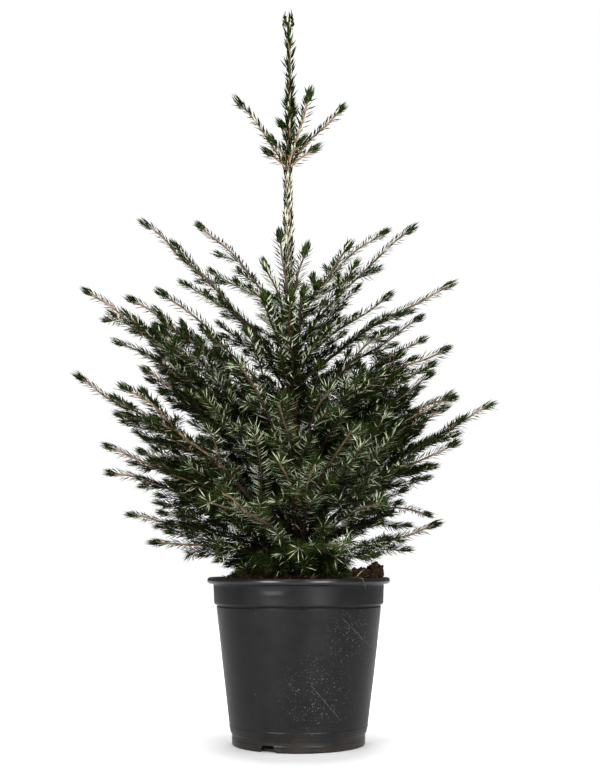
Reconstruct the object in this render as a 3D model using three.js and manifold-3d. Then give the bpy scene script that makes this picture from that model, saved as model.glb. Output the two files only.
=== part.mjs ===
// A young Serbian spruce in a round black nursery pot, as one group of named closed meshes.
// Millimetres, +Z up. The origin is the middle of the pot's flat underside, +X is to the right and -Y is
// towards the viewer. Bearings run from +X (0) through +Y (90, away from the viewer), in degrees.
import * as THREE from "three";
import { mergeVertices } from "three/addons/utils/BufferGeometryUtils.js";
import Module from "manifold-3d";

const wasm = await Module();
wasm.setup();

// Space left between two pieces that touch on the real plant
const GAP = 0.3;

// Pot: a tapered wall between a narrow foot and an upright band with a lip
const POT = { height: 214, wall: 2, floor: 3, sides: 36 };
const LIP = { radius: 120, depth: 8, round: 2.5 };
const FOOT_BEVEL = 1;
const BAND = { topRadius: 112, lowRadius: 110.5, low: 181 };
const WALL = { topRadius: 107.5, top: 176, lowRadius: 89.3, low: 20 };
const FOOT = { radius: 86.5, top: 13 };
const DRAIN = { count: 3, bearing: 243.6, width: 24, topWidth: 15, height: 8.6, depth: 9 };

// Soil: a dome that fills the pot and stands a little above its lip, with clods on it
const SOIL = { edge: 206, crown: 220, steepness: 2.4, pad: 24, rings: 7, inset: 2 };
const CLODS = [
  { bearing: 6, distance: 92, radius: 17, height: 20 },
  { bearing: 28, distance: 70, radius: 20, height: 8 },
  { bearing: 335, distance: 74, radius: 16, height: 6 },
  { bearing: 60, distance: 84, radius: 18, height: 7 },
  { bearing: 175, distance: 82, radius: 22, height: 8 },
  { bearing: 120, distance: 78, radius: 20, height: 6 },
];

// Trunk: from a flat cut on the soil to the fork where the leader and the top whorl leave it
const GROUND = 220;
const FORK = 786;
const TRUNK = { footX: 6, lean: 21, footRadius: 9.5, forkRadius: 3.6 };
const TRUNK_MESH = { sides: 10, stations: 22, crowding: 1.25 };
const FLARE = { radius: 4.5, reach: 12 };
const BARE_STEM = { low: 600, top: 740, needle: 9, spread: 16, every: 4 };

// Branches: height of the root above the soil, bearing, length to the last needle, and rise above level at
// the root and at the tip. The thick ones have a bare limb next to the trunk.
const BRANCHES = [
  { name: "skirt_left", height: 14, bearing: 197, length: 201, rise: 17, tipRise: -3 },
  { name: "skirt_back_left", height: 17, bearing: 158, length: 268, rise: 22, tipRise: 4 },
  { name: "skirt_back", height: 14, bearing: 98, length: 205, rise: 18, tipRise: 2 },
  { name: "skirt_back_right", height: 14, bearing: 33, length: 236, rise: 50, tipRise: -16 },
  { name: "skirt_right", height: 14, bearing: 337, length: 191, rise: 16, tipRise: 13 },
  { name: "skirt_front_right", height: 14, bearing: 286, length: 178, rise: 16, tipRise: 0 },
  { name: "skirt_front_left", height: 16, bearing: 245, length: 240, rise: 30, tipRise: 8 },
  { name: "spread_left", height: 28, bearing: 172, length: 290, rise: 34, tipRise: 10, limb: true },
  { name: "low_left", height: 50, bearing: 194, length: 362, rise: 42, tipRise: 27, limb: true },
  { name: "low_front_left", height: 34, bearing: 216, length: 334, rise: 44, tipRise: 29, limb: true },
  { name: "low_right", height: 36, bearing: 352, length: 318, rise: 50, tipRise: 22, limb: true },
  { name: "low_front", height: 36, bearing: 274, length: 222, rise: 38, tipRise: 14 },
  { name: "low_back_right", height: 38, bearing: 62, length: 330, rise: 46, tipRise: 28, limb: true },
  { name: "low_back", height: 36, bearing: 124, length: 340, rise: 46, tipRise: 28, limb: true },
  { name: "mid_front_right", height: 72, bearing: 293, length: 204, rise: 42, tipRise: 22 },
  { name: "mid_right", height: 76, bearing: 16, length: 290, rise: 59, tipRise: 14, limb: true },
  { name: "mid_back_left", height: 104, bearing: 143, length: 335, rise: 50, tipRise: 31, limb: true },
  { name: "mid_front", height: 106, bearing: 262, length: 190, rise: 45, tipRise: 26 },
  { name: "mid_back", height: 100, bearing: 92, length: 320, rise: 50, tipRise: 30, limb: true },
  { name: "mid_back_right", height: 96, bearing: 48, length: 305, rise: 52, tipRise: 30 },
  { name: "mid_left", height: 120, bearing: 178, length: 398, rise: 53, tipRise: 32, limb: true },
  { name: "mid_front_left", height: 122, bearing: 242, length: 214, rise: 54, tipRise: 32 },
  { name: "mid_front_tall", height: 134, bearing: 285, length: 184, rise: 42, tipRise: 23 },
  { name: "side_right", height: 160, bearing: 343, length: 250, rise: 48, tipRise: 18 },
  { name: "side_back_right", height: 182, bearing: 30, length: 270, rise: 46, tipRise: 26 },
  { name: "upper_front_left", height: 204, bearing: 208, length: 254, rise: 49, tipRise: 30 },
  { name: "upper_front", height: 226, bearing: 268, length: 176, rise: 57, tipRise: 42 },
  { name: "upper_back", height: 222, bearing: 76, length: 268, rise: 54, tipRise: 34 },
  { name: "upper_back_left", height: 230, bearing: 126, length: 262, rise: 54, tipRise: 34 },
  { name: "upper_right", height: 252, bearing: 4, length: 268, rise: 42, tipRise: 24, limb: true },
  { name: "upper_left", height: 262, bearing: 182, length: 299, rise: 56, tipRise: 37, limb: true },
  { name: "upper_front_right", height: 272, bearing: 330, length: 176, rise: 40, tipRise: 22 },
  { name: "crown_right", height: 298, bearing: 354, length: 242, rise: 56, tipRise: 34 },
  { name: "crown_front_right", height: 318, bearing: 306, length: 172, rise: 47, tipRise: 29 },
  { name: "crown_back", height: 326, bearing: 92, length: 180, rise: 58, tipRise: 42 },
  { name: "crown_left", height: 334, bearing: 150, length: 229, rise: 56, tipRise: 39 },
  { name: "crown_back_right", height: 338, bearing: 30, length: 221, rise: 53, tipRise: 36 },
  { name: "crown_front", height: 342, bearing: 256, length: 124, rise: 74, tipRise: 64 },
  { name: "whorl_low", height: 556, bearing: 215, length: 46, rise: 32, tipRise: 20 },
  { name: "whorl_left", height: 560, bearing: 183, length: 122, rise: 57, tipRise: 49 },
  { name: "whorl_back", height: 560, bearing: 88, length: 112, rise: 56, tipRise: 46 },
  { name: "whorl_front", height: 560, bearing: 304, length: 110, rise: 61, tipRise: 54 },
  { name: "whorl_right", height: 560, bearing: 1, length: 118, rise: 54, tipRise: 43 },
];
const LIMB = { share: 0.2, footRadius: 4.2, radiusPerLength: 0.003, taper: 0.62, sides: 6, stations: 4 };
const LIMB_USUAL_LENGTH = 300;
const LEADER = { length: 217, footRadius: 3, tipRadius: 1.6, needle: 15, spread: 24, sides: 5, spacing: 15 };

// Shoots: slim cores that carry one needle, or a flat face, on each side between two stations
const CORE = { sides: 3, leastSteps: 3 };
const STEM = { footRadius: 2.6, tipRadius: 1.1, spacing: 25 };
const LATERAL = { footRadius: 1.7, tipRadius: 0.9, spacing: 27, lookAhead: 11, leastLeft: 22 };
const LATERAL_LENGTH = { shortest: 45, longest: 140 };
const NEEDLE = { length: 22, spread: 50, twist: 47, bud: 9 };

// Branching: where side shoots stand on a branch, how long they are and how far they turn towards its tip
const BRANCHING = { leastBranch: 130, firstShare: 0.16, afterLimb: 8 };
const SIDE_SHOOTS = { gap: 29, freeTip: 78, share: 0.6 };
const SIDE_ROLL = { low: -55, high: 25 };
const SIDE_SPREAD = { low: 28, high: 46 };
const SIDE_BEND = { keep: 0.6, forward: 0.45, sky: 0.03 };
const VARIATION = { gap: 0.2, length: 0.18 };

// Branches high up or at the front are more open, with fewer and shorter side shoots
const OPEN_FROM = 200;
const OPEN_SHOOTS = { gap: 40, freeTip: 92, share: 0.48 };
const isOpen = (branch) => branch.height >= OPEN_FROM || branch.name.includes("front");

// Room that a branch leaves to its neighbours, the trunk, the soil and the pot
const SPACE = { branches: 0.5, trunk: 1.5, soil: 2, pot: 3, lineSteps: 12 };

const SEED = { first: 4127, step: 97 };
const UP = new THREE.Vector3(0, 0, 1);
const upright = { forward: UP, side: new THREE.Vector3(1, 0, 0), up: new THREE.Vector3(0, 1, 0) };
const radians = THREE.MathUtils.degToRad;
const mix = THREE.MathUtils.lerp;

const MATERIALS = {
  pot: new THREE.MeshStandardMaterial({ color: 0x333336, roughness: 0.55, metalness: 0 }),
  soil: new THREE.MeshStandardMaterial({ color: 0x2e2019, roughness: 0.98, metalness: 0 }),
  bark: new THREE.MeshStandardMaterial({ color: 0x7a5138, roughness: 0.9, metalness: 0 }),
  needles: new THREE.MeshStandardMaterial({ color: 0x35472f, roughness: 0.6, metalness: 0 }),
};

// A repeatable stream of numbers from 0 to 1, by a linear congruence on 32 bits
function seeded(seed) {
  let state = Math.imul(seed, 2654435761) >>> 0;
  return () => {
    state = (Math.imul(state, 1664525) + 1013904223) >>> 0;
    return state / 4294967296;
  };
}

const outward = (bearing) => new THREE.Vector3(Math.cos(radians(bearing)), Math.sin(radians(bearing)), 0);
const middleOf = (a, b) => a.clone().lerp(b, 0.5);

// Joining and cutting closed meshes

function toSolid(geometry) {
  const bare = geometry.clone();
  bare.deleteAttribute("normal");
  bare.deleteAttribute("uv");
  const merged = mergeVertices(bare, 1e-3);
  return new wasm.Manifold(
    new wasm.Mesh({
      numProp: 3,
      vertProperties: merged.attributes.position.array,
      triVerts: new Uint32Array(merged.index.array),
    }),
  );
}

function toGeometry(solid) {
  const { vertProperties, triVerts } = solid.getMesh();
  const geometry = new THREE.BufferGeometry();
  geometry.setAttribute("position", new THREE.BufferAttribute(vertProperties, 3));
  geometry.setIndex(new THREE.BufferAttribute(triVerts, 1));
  geometry.computeVertexNormals();
  return geometry;
}

// One body of several overlapping ones, without the sealed hollows and loose scraps that joining leaves
function fuse(geometries) {
  const joined = wasm.Manifold.union(geometries.map(toSolid)).simplify(0.02);
  const bodies = joined.decompose().sort((a, b) => b.volume() - a.volume());
  return toGeometry(bodies[0]);
}

function closedGeometry(points, triangles) {
  const geometry = new THREE.BufferGeometry();
  geometry.setAttribute("position", new THREE.Float32BufferAttribute(points.flatMap((p) => p.toArray()), 3));
  geometry.setIndex(triangles);
  geometry.computeVertexNormals();
  return geometry;
}

// Pot

function potGeometry() {
  const inside = (radius) => radius - POT.wall;
  const profile = [
    [0, 0],
    [FOOT.radius - FOOT_BEVEL, 0],
    [FOOT.radius, FOOT_BEVEL],
    [FOOT.radius, FOOT.top],
    [WALL.lowRadius, WALL.low],
    [WALL.topRadius, WALL.top],
    [BAND.lowRadius, BAND.low],
    [BAND.topRadius, POT.height - LIP.depth],
    [LIP.radius - LIP.round, POT.height - LIP.depth],
    [LIP.radius, POT.height - LIP.depth + LIP.round],
    [LIP.radius, POT.height - LIP.round],
    [LIP.radius - LIP.round, POT.height],
    [inside(BAND.topRadius) + LIP.round, POT.height],
    [inside(BAND.topRadius), POT.height - LIP.round],
    [inside(BAND.lowRadius), BAND.low],
    [inside(WALL.topRadius), WALL.top],
    [inside(WALL.lowRadius), WALL.low],
    [inside(FOOT.radius), POT.floor],
    [0, POT.floor],
  ].map(([radius, height]) => new THREE.Vector2(radius, height));
  const shell = new THREE.LatheGeometry(profile, POT.sides).rotateX(Math.PI / 2);
  return toGeometry(drainNotches().reduce((pot, notch) => pot.subtract(notch), toSolid(shell)));
}

// Wedges that open the corner between the wall and the floor
function drainNotches() {
  const outline = new THREE.Shape([
    new THREE.Vector2(-DRAIN.width / 2, -FOOT_BEVEL),
    new THREE.Vector2(DRAIN.width / 2, -FOOT_BEVEL),
    new THREE.Vector2(DRAIN.topWidth / 2, DRAIN.height),
    new THREE.Vector2(-DRAIN.topWidth / 2, DRAIN.height),
  ]);
  return Array.from({ length: DRAIN.count }, (_, i) => {
    const bearing = radians(DRAIN.bearing + (360 / DRAIN.count) * i);
    const wedge = new THREE.ExtrudeGeometry(outline, { depth: DRAIN.depth * 2, bevelEnabled: false });
    wedge.rotateX(Math.PI / 2).rotateZ(Math.PI / 2);
    wedge.translate(FOOT.radius - DRAIN.depth, 0, 0).rotateZ(bearing);
    return toSolid(wedge);
  });
}

// Soil

function soilHeight(x, y) {
  const edgeRadius = BAND.topRadius - POT.wall;
  const foot = trunkPoint(GROUND);
  const outShare = Math.min(1, Math.hypot(x, y) / edgeRadius);
  const dome = mix(SOIL.crown, SOIL.edge, Math.pow(outShare, SOIL.steepness));
  const clods = CLODS.reduce((sum, clod) => {
    const centre = outward(clod.bearing).multiplyScalar(clod.distance);
    const away = Math.hypot(x - centre.x, y - centre.y) / clod.radius;
    return sum + clod.height * Math.exp(-away * away);
  }, 0);
  const fromTrunk = Math.hypot(x - foot.x, y - foot.y);
  const lift = THREE.MathUtils.smoothstep(fromTrunk, SOIL.pad, SOIL.pad * 2);
  return mix(GROUND, dome + clods, lift);
}

// Rings from the middle of the top, out to the wall, down it and in to the middle of the floor
function soilGeometry() {
  const inside = (radius) => radius - POT.wall - GAP;
  const top = Array.from({ length: SOIL.rings }, (_, i) => ({
    radius: ((inside(BAND.lowRadius) - GAP) * (i + 1)) / SOIL.rings,
  }));
  const wall = [
    { radius: inside(BAND.lowRadius) - SOIL.inset, height: BAND.low },
    { radius: inside(WALL.topRadius) - GAP, height: WALL.top },
    { radius: inside(WALL.lowRadius), height: WALL.low },
    { radius: inside(FOOT.radius), height: POT.floor + GAP },
  ];
  const rings = [...top, ...wall];
  const foot = trunkPoint(GROUND);
  const points = [];
  rings.forEach(({ radius, height }, ring) => {
    for (let i = 0; i < POT.sides; i++) {
      const direction = outward((360 / POT.sides) * i);
      const shift = height === undefined ? 1 - (ring + 1) / SOIL.rings : 0;
      const x = direction.x * radius + foot.x * shift;
      const y = direction.y * radius + foot.y * shift;
      points.push(new THREE.Vector3(x, y, height ?? soilHeight(x, y)));
    }
  });
  const at = (ring, i) => ring * POT.sides + (i % POT.sides);
  const crown = points.push(new THREE.Vector3(foot.x, foot.y, GROUND)) - 1;
  const floor = points.push(new THREE.Vector3(0, 0, POT.floor + GAP)) - 1;
  const last = rings.length - 1;
  const triangles = [];
  for (let i = 0; i < POT.sides; i++) {
    triangles.push(crown, at(0, i), at(0, i + 1), floor, at(last, i + 1), at(last, i));
    for (let ring = 0; ring < last; ring++) {
      const [a, b, c, d] = [at(ring, i), at(ring + 1, i), at(ring + 1, i + 1), at(ring, i + 1)];
      triangles.push(a, b, c, a, c, d);
    }
  }
  return closedGeometry(points, triangles);
}

// Trunk

const trunkShare = (height) => THREE.MathUtils.clamp((height - GROUND) / (FORK - GROUND), 0, 1);

function trunkPoint(height) {
  const left = 1 - trunkShare(height);
  return new THREE.Vector3(TRUNK.footX - TRUNK.lean * (1 - left * left), 0, height);
}

function trunkRadius(height) {
  const flare = FLARE.radius * Math.exp(-(height - GROUND) / FLARE.reach);
  return mix(TRUNK.footRadius, TRUNK.forkRadius, trunkShare(height)) + flare;
}

function trunkGeometry() {
  const stations = Array.from({ length: TRUNK_MESH.stations }, (_, i) => {
    const share = i / (TRUNK_MESH.stations - 1);
    const height = mix(GROUND + GAP, FORK, Math.pow(share, TRUNK_MESH.crowding));
    return { ...upright, centre: trunkPoint(height), radius: trunkRadius(height) };
  });
  return brushGeometry(stations, {
    sides: TRUNK_MESH.sides,
    needle: BARE_STEM.needle,
    spread: BARE_STEM.spread,
    twist: 0,
    tip: 0,
    bears: (apex, i, k) =>
      apex.z > BARE_STEM.low && apex.z < BARE_STEM.top && (i + 2 * k) % BARE_STEM.every === 0,
  });
}

// Branch lines: each turns evenly from its rise at the root to its rise at the tip, on one bearing

function branchLine(branch) {
  const out = outward(branch.bearing);
  const [rise, tipRise] = [radians(branch.rise), radians(branch.tipRise)];
  const turn = tipRise - rise;
  const foot = GROUND + branch.height;
  const root = trunkPoint(foot).addScaledVector(out, trunkRadius(foot - STEM.footRadius) + GAP);
  const side = new THREE.Vector3().crossVectors(UP, out);
  return (along) => {
    const angle = rise + turn * (along / branch.length);
    const reach = (branch.length * (Math.sin(angle) - Math.sin(rise))) / turn;
    const climb = (branch.length * (Math.cos(rise) - Math.cos(angle))) / turn;
    const forward = out.clone().multiplyScalar(Math.cos(angle)).addScaledVector(UP, Math.sin(angle));
    return {
      centre: root.clone().addScaledVector(out, reach).addScaledVector(UP, climb),
      forward,
      side,
      up: new THREE.Vector3().crossVectors(forward, side),
    };
  };
}

const limbRadius = (branch) =>
  LIMB.footRadius + (branch.length - LIMB_USUAL_LENGTH) * LIMB.radiusPerLength;

// A branch with its line, the place where its foliage starts and points to measure distances from
function prepare(row, index) {
  const branch = { limb: false, ...row, seed: SEED.first + SEED.step * index };
  const line = branchLine(branch);
  const limbEnd = branch.limb ? LIMB.share * branch.length : 0;
  const steps = Array.from({ length: SPACE.lineSteps + 1 }, (_, i) => {
    const along = (branch.length * i) / SPACE.lineSteps;
    const radius = along <= limbEnd ? limbRadius(branch) : STEM.footRadius;
    return { point: line(along).centre, radius };
  });
  return { ...branch, line, limbEnd, steps };
}

const leaderLine = (along) => ({ ...upright, centre: trunkPoint(FORK).addScaledVector(UP, along) });
const branches = BRANCHES.map(prepare);
const leaderSteps = Array.from({ length: SPACE.lineSteps + 1 }, (_, i) => ({
  point: leaderLine((LEADER.length * i) / SPACE.lineSteps).centre,
  radius: LEADER.footRadius,
}));

// Keeping each branch to its own space

function distanceToSteps(point, steps) {
  const nearest = new THREE.Vector3();
  const segment = new THREE.Line3();
  let least = Infinity;
  for (let i = 1; i < steps.length; i++) {
    segment.set(steps[i - 1].point, steps[i].point).closestPointToPoint(point, true, nearest);
    least = Math.min(least, nearest.distanceTo(point) - steps[i].radius);
  }
  return least;
}

function isInOpenAir(point) {
  const fromTrunk = point.distanceTo(trunkPoint(Math.min(point.z, FORK)));
  if (fromTrunk < trunkRadius(point.z) + SPACE.trunk) return false;
  const fromAxis = Math.hypot(point.x, point.y);
  if (fromAxis > LIP.radius + SPACE.pot) return true;
  const overLip = fromAxis > BAND.lowRadius - POT.wall - SPACE.pot;
  const lipTop = overLip ? POT.height + SPACE.pot : 0;
  return point.z > Math.max(lipTop, soilHeight(point.x, point.y) + SPACE.soil);
}

function keepsOwnSpace(point, ownSteps) {
  if (!isInOpenAir(point)) return false;
  const reach = distanceToSteps(point, ownSteps) + SPACE.branches;
  return [leaderSteps, ...branches.map((b) => b.steps)].every(
    (steps) => steps === ownSteps || distanceToSteps(point, steps) > reach,
  );
}

// Shoots

// A closed core along stations, whose sides between two stations rise to a needle where bears() allows one
function brushGeometry(stations, { sides, needle, spread, twist, tip, bears }) {
  const points = [];
  const triangles = [];
  const directions = stations.map((s, i) =>
    Array.from({ length: sides }, (_, k) => {
      const turn = radians((360 / sides) * k + twist * i);
      return s.side.clone().multiplyScalar(Math.cos(turn)).addScaledVector(s.up, Math.sin(turn));
    }),
  );
  stations.forEach((s, i) =>
    directions[i].forEach((d) => points.push(s.centre.clone().addScaledVector(d, s.radius))),
  );
  const at = (i, k) => i * sides + (k % sides);
  for (let i = 0; i + 1 < stations.length; i++) {
    for (let k = 0; k < sides; k++) {
      const corners = [at(i, k), at(i, k + 1), at(i + 1, k + 1), at(i + 1, k)];
      const middle = corners.reduce((sum, c) => sum.add(points[c]), new THREE.Vector3()).divideScalar(4);
      const out = middle.clone().sub(middleOf(stations[i].centre, stations[i + 1].centre)).normalize();
      const apex = middle
        .clone()
        .addScaledVector(out, needle * Math.sin(radians(spread)))
        .addScaledVector(stations[i].forward, needle * Math.cos(radians(spread)));
      if (bears(apex, i, k, middle)) {
        const top = points.push(apex) - 1;
        corners.forEach((c, n) => triangles.push(c, corners[(n + 1) % 4], top));
      } else {
        triangles.push(corners[0], corners[1], corners[2], corners[0], corners[2], corners[3]);
      }
    }
  }
  const last = stations.length - 1;
  const foot = points.push(stations[0].centre.clone()) - 1;
  const end = stations[last].centre.clone().addScaledVector(stations[last].forward, tip);
  const head = points.push(end) - 1;
  for (let k = 0; k < sides; k++) {
    triangles.push(foot, at(0, k + 1), at(0, k), head, at(last, k), at(last, k + 1));
  }
  return closedGeometry(points, triangles);
}

// The branch's own leading shoot, from its limb or the trunk to its tip
function stemGeometry(branch) {
  const start = branch.limb ? branch.limbEnd + GAP : 0;
  const end = branch.length - NEEDLE.bud;
  const count = Math.max(CORE.leastSteps, Math.round((end - start) / STEM.spacing)) + 1;
  const footRadius = branch.limb ? limbRadius(branch) * LIMB.taper : STEM.footRadius;
  const stations = Array.from({ length: count }, (_, i) => {
    const share = i / (count - 1);
    const frame = branch.line(mix(start, end, share));
    if (i === 0 && !branch.limb) frame.up = UP;
    return { ...frame, radius: mix(footRadius, STEM.tipRadius, Math.sqrt(share)) };
  });
  return needled(stations, branch.steps);
}

function needled(stations, ownSteps) {
  return brushGeometry(stations, {
    sides: CORE.sides,
    needle: NEEDLE.length,
    spread: NEEDLE.spread,
    twist: NEEDLE.twist,
    tip: NEEDLE.bud,
    bears: (apex, i, k, middle) =>
      i > 0 && keepsOwnSpace(apex, ownSteps) && keepsOwnSpace(middleOf(apex, middle), ownSteps),
  });
}

// Side shoots leave in turn to the left and the right, lean forward and grow shorter towards the tip
function lateralShoots(branch) {
  if (branch.length < BRANCHING.leastBranch) return [];
  const random = seeded(branch.seed);
  const between = ({ low, high }) => mix(low, high, random());
  const about = (share) => mix(1 - share, 1 + share, random());
  const { gap, freeTip, share } = isOpen(branch) ? OPEN_SHOOTS : SIDE_SHOOTS;
  const shoots = [];
  let turn = random() < 0.5 ? 1 : -1;
  let along = Math.max(branch.limbEnd, BRANCHING.firstShare * branch.length) + BRANCHING.afterLimb;
  while (along < branch.length - freeTip) {
    const roll = radians(between(SIDE_ROLL));
    const spread = radians(between(SIDE_SPREAD));
    const wanted = (branch.length - along) * share * about(VARIATION.length);
    const { centre, forward, side, up } = branch.line(along);
    const across = side.clone().multiplyScalar(turn * Math.cos(roll)).addScaledVector(up, Math.sin(roll));
    const start = forward.clone().multiplyScalar(Math.cos(spread)).addScaledVector(across, Math.sin(spread));
    const bent = start.clone().multiplyScalar(SIDE_BEND.keep).addScaledVector(forward, SIDE_BEND.forward);
    const finish = bent.addScaledVector(UP, SIDE_BEND.sky).normalize();
    const length = THREE.MathUtils.clamp(wanted, LATERAL_LENGTH.shortest, LATERAL_LENGTH.longest);
    shoots.push({ root: centre, start, finish, length });
    along += gap * about(VARIATION.gap);
    turn = -turn;
  }
  return shoots;
}

function lateralFrame({ root, start, finish, length }, along) {
  const share = along / length;
  const forward = start.clone().lerp(finish, share).normalize();
  const side = new THREE.Vector3().crossVectors(UP, forward).normalize();
  const bend = finish.clone().sub(start).multiplyScalar((share * share * length) / 2);
  return {
    centre: root.clone().addScaledVector(start, along).add(bend),
    forward,
    side,
    up: new THREE.Vector3().crossVectors(forward, side),
  };
}

// The part of a side shoot that stays in its branch's space, or nothing if too little is left
function lateralGeometry(shoot, ownSteps) {
  const end = shoot.length - NEEDLE.bud;
  const last = Math.max(CORE.leastSteps, Math.round(end / LATERAL.spacing));
  const stations = [];
  for (let i = 0; i <= last; i++) {
    const frame = lateralFrame(shoot, (end * i) / last);
    const ahead = frame.centre.clone().addScaledVector(frame.forward, LATERAL.lookAhead);
    if (i > 0 && !(keepsOwnSpace(frame.centre, ownSteps) && keepsOwnSpace(ahead, ownSteps))) break;
    stations.push({ ...frame, radius: mix(LATERAL.footRadius, LATERAL.tipRadius, i / last) });
  }
  const reached = (end * (stations.length - 1)) / last;
  return reached < LATERAL.leastLeft ? null : needled(stations, ownSteps);
}

// Assembly

const spruce = new THREE.Group();
spruce.name = "potted_serbian_spruce";

function addPiece(name, geometry, material) {
  const mesh = new THREE.Mesh(geometry, material);
  mesh.name = name;
  spruce.add(mesh);
}

function limbGeometry(branch) {
  const radius = limbRadius(branch);
  const stations = Array.from({ length: LIMB.stations }, (_, i) => {
    const share = i / (LIMB.stations - 1);
    const frame = branch.line(branch.limbEnd * share);
    if (i === 0) frame.up = UP;
    return { ...frame, radius: radius * mix(1, LIMB.taper, share) };
  });
  const smooth = { sides: LIMB.sides, needle: 0, spread: 0, twist: 0, tip: 0, bears: () => false };
  return brushGeometry(stations, smooth);
}

function leaderGeometry() {
  const end = LEADER.length - NEEDLE.bud;
  const count = Math.round(end / LEADER.spacing) + 1;
  const stations = Array.from({ length: count }, (_, i) => {
    const share = i / (count - 1);
    const radius = mix(LEADER.footRadius, LEADER.tipRadius, share);
    return { ...leaderLine(mix(GAP, end, share)), radius };
  });
  return brushGeometry(stations, {
    sides: LEADER.sides,
    needle: LEADER.needle,
    spread: LEADER.spread,
    twist: NEEDLE.twist,
    tip: NEEDLE.bud,
    bears: (apex) => keepsOwnSpace(apex, leaderSteps),
  });
}

addPiece("pot", potGeometry(), MATERIALS.pot);
addPiece("soil", soilGeometry(), MATERIALS.soil);
addPiece("trunk", trunkGeometry(), MATERIALS.bark);
addPiece("leader_shoot", leaderGeometry(), MATERIALS.needles);
for (const branch of branches) {
  if (branch.limb) addPiece(`limb_${branch.name}`, limbGeometry(branch), MATERIALS.bark);
  const laterals = lateralShoots(branch).map((shoot) => lateralGeometry(shoot, branch.steps));
  const foliage = fuse([stemGeometry(branch), ...laterals.filter(Boolean)]);
  addPiece(`foliage_${branch.name}`, foliage, MATERIALS.needles);
}

export default spruce;
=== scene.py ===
# %% [markdown]
# # A young spruce in a black nursery pot
#
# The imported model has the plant's true sizes in plain solids: a pot, its soil, a trunk, twelve limbs and a
# stiff frame for each branch. This lesson dresses it with what an eye sees: needles by the thousand on fine
# twigs, bark, crumbly peat and scuffed plastic. Every new piece is made in the model's own frame, so nothing
# has to be fitted afterwards.

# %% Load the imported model
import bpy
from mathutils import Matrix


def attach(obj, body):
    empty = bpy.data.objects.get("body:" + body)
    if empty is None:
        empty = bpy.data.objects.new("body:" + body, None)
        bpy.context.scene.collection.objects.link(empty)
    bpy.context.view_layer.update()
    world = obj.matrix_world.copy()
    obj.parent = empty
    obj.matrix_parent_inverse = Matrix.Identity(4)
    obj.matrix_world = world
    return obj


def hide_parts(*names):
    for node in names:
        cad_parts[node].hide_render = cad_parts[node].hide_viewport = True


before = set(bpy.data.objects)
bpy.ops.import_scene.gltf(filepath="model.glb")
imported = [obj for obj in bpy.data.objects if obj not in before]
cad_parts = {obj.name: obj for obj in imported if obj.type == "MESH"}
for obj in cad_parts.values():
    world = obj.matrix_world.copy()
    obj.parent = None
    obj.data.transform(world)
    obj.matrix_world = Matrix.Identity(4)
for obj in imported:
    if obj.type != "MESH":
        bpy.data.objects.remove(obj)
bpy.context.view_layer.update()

# %% Tools for arrays, meshes and noise
import math
from dataclasses import dataclass
from typing import Callable

import bmesh
import bpy
import numpy as np
from mathutils import Vector, noise

# %% [markdown]
# ## Points, directions and pieces
#
# A plant is many small things, so it is worked out as arrays of points in millimetres and handed to Blender
# whole. Building each needle with an operator would take hours, and instances are lost when the model is
# exported. One helper turns points and faces into an object that rides on the plant's only body.

# %% Points and directions
MM = 0.001
UP = np.array([0.0, 0.0, 1.0])


def unit(vectors):
    return vectors / np.linalg.norm(vectors, axis=-1, keepdims=True)


def mix(low, high, share):
    return low + (high - low) * share


def smooth_step(value, low, high):
    share = np.clip((value - low) / (high - low), 0, 1)
    return share * share * (3 - 2 * share)


def outward(bearing):
    angle = np.radians(bearing)
    return np.stack([np.cos(angle), np.sin(angle), np.zeros_like(angle)], axis=-1)


# %% Meshes and pieces
def new_object(name, points, faces, materials=(), face_materials=None, smooth=True):
    """An object from points in millimetres and index arrays, one array for each number of corners."""
    mesh = bpy.data.meshes.new(name)
    sizes = np.concatenate([np.full(len(group), group.shape[1]) for group in faces])
    corners = np.concatenate([group.ravel() for group in faces])
    mesh.vertices.add(len(points))
    mesh.vertices.foreach_set("co", (points * MM).astype(np.float32).ravel())
    mesh.loops.add(len(corners))
    mesh.loops.foreach_set("vertex_index", corners.astype(np.int32))
    mesh.polygons.add(len(sizes))
    mesh.polygons.foreach_set("loop_start", (np.cumsum(sizes) - sizes).astype(np.int32))
    for material in materials:
        mesh.materials.append(material)
    if face_materials is not None:
        mesh.polygons.foreach_set("material_index", face_materials.astype(np.int32))
    mesh.update(calc_edges=True)
    if smooth:
        mesh.shade_smooth()
    else:
        mesh.shade_flat()
    made = bpy.data.objects.new(name, mesh)
    bpy.context.scene.collection.objects.link(made)
    return made


def add_to_plant(piece, slot, *nodes):
    """The piece rides on the plant and stands for some of the nodes. The slot is not used."""
    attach(piece, "root")
    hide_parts(*nodes)
    piece.data.calc_loop_triangles()
    print(piece.name, "has", len(piece.data.loop_triangles), "triangles and stands for", len(nodes), "nodes")
    return piece


# %% Tubes
def ring_points(points, side, up, radii, sides):
    """Rings of points round a line. The radii are one for each station, or one for each point."""
    turn = np.linspace(0, 2 * np.pi, sides, endpoint=False)
    spokes = np.cos(turn)[:, None] * side[:, None] + np.sin(turn)[:, None] * up[:, None]
    reach = np.broadcast_to(radii.reshape(len(points), -1), spokes.shape[:2])
    return points[:, None] + spokes * reach[..., None]


def joined_tubes(tubes):
    """Points and faces of many closed tubes, each given as rings with the same number of sides."""
    points, walls, ends, first = [], [], [], 0
    for rings in tubes:
        stations, sides = rings.shape[:2]
        index = first + np.arange(stations * sides).reshape(stations, sides)
        beside = np.roll(index, -1, axis=1)
        walls.append(np.stack([index[:-1], beside[:-1], beside[1:], index[1:]], axis=-1).reshape(-1, 4))
        ends.append(np.stack([index[0, ::-1], index[-1]]))
        points.append(rings.reshape(-1, 3))
        first += stations * sides
    return np.concatenate(points), [np.concatenate(walls), np.concatenate(ends)]


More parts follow.
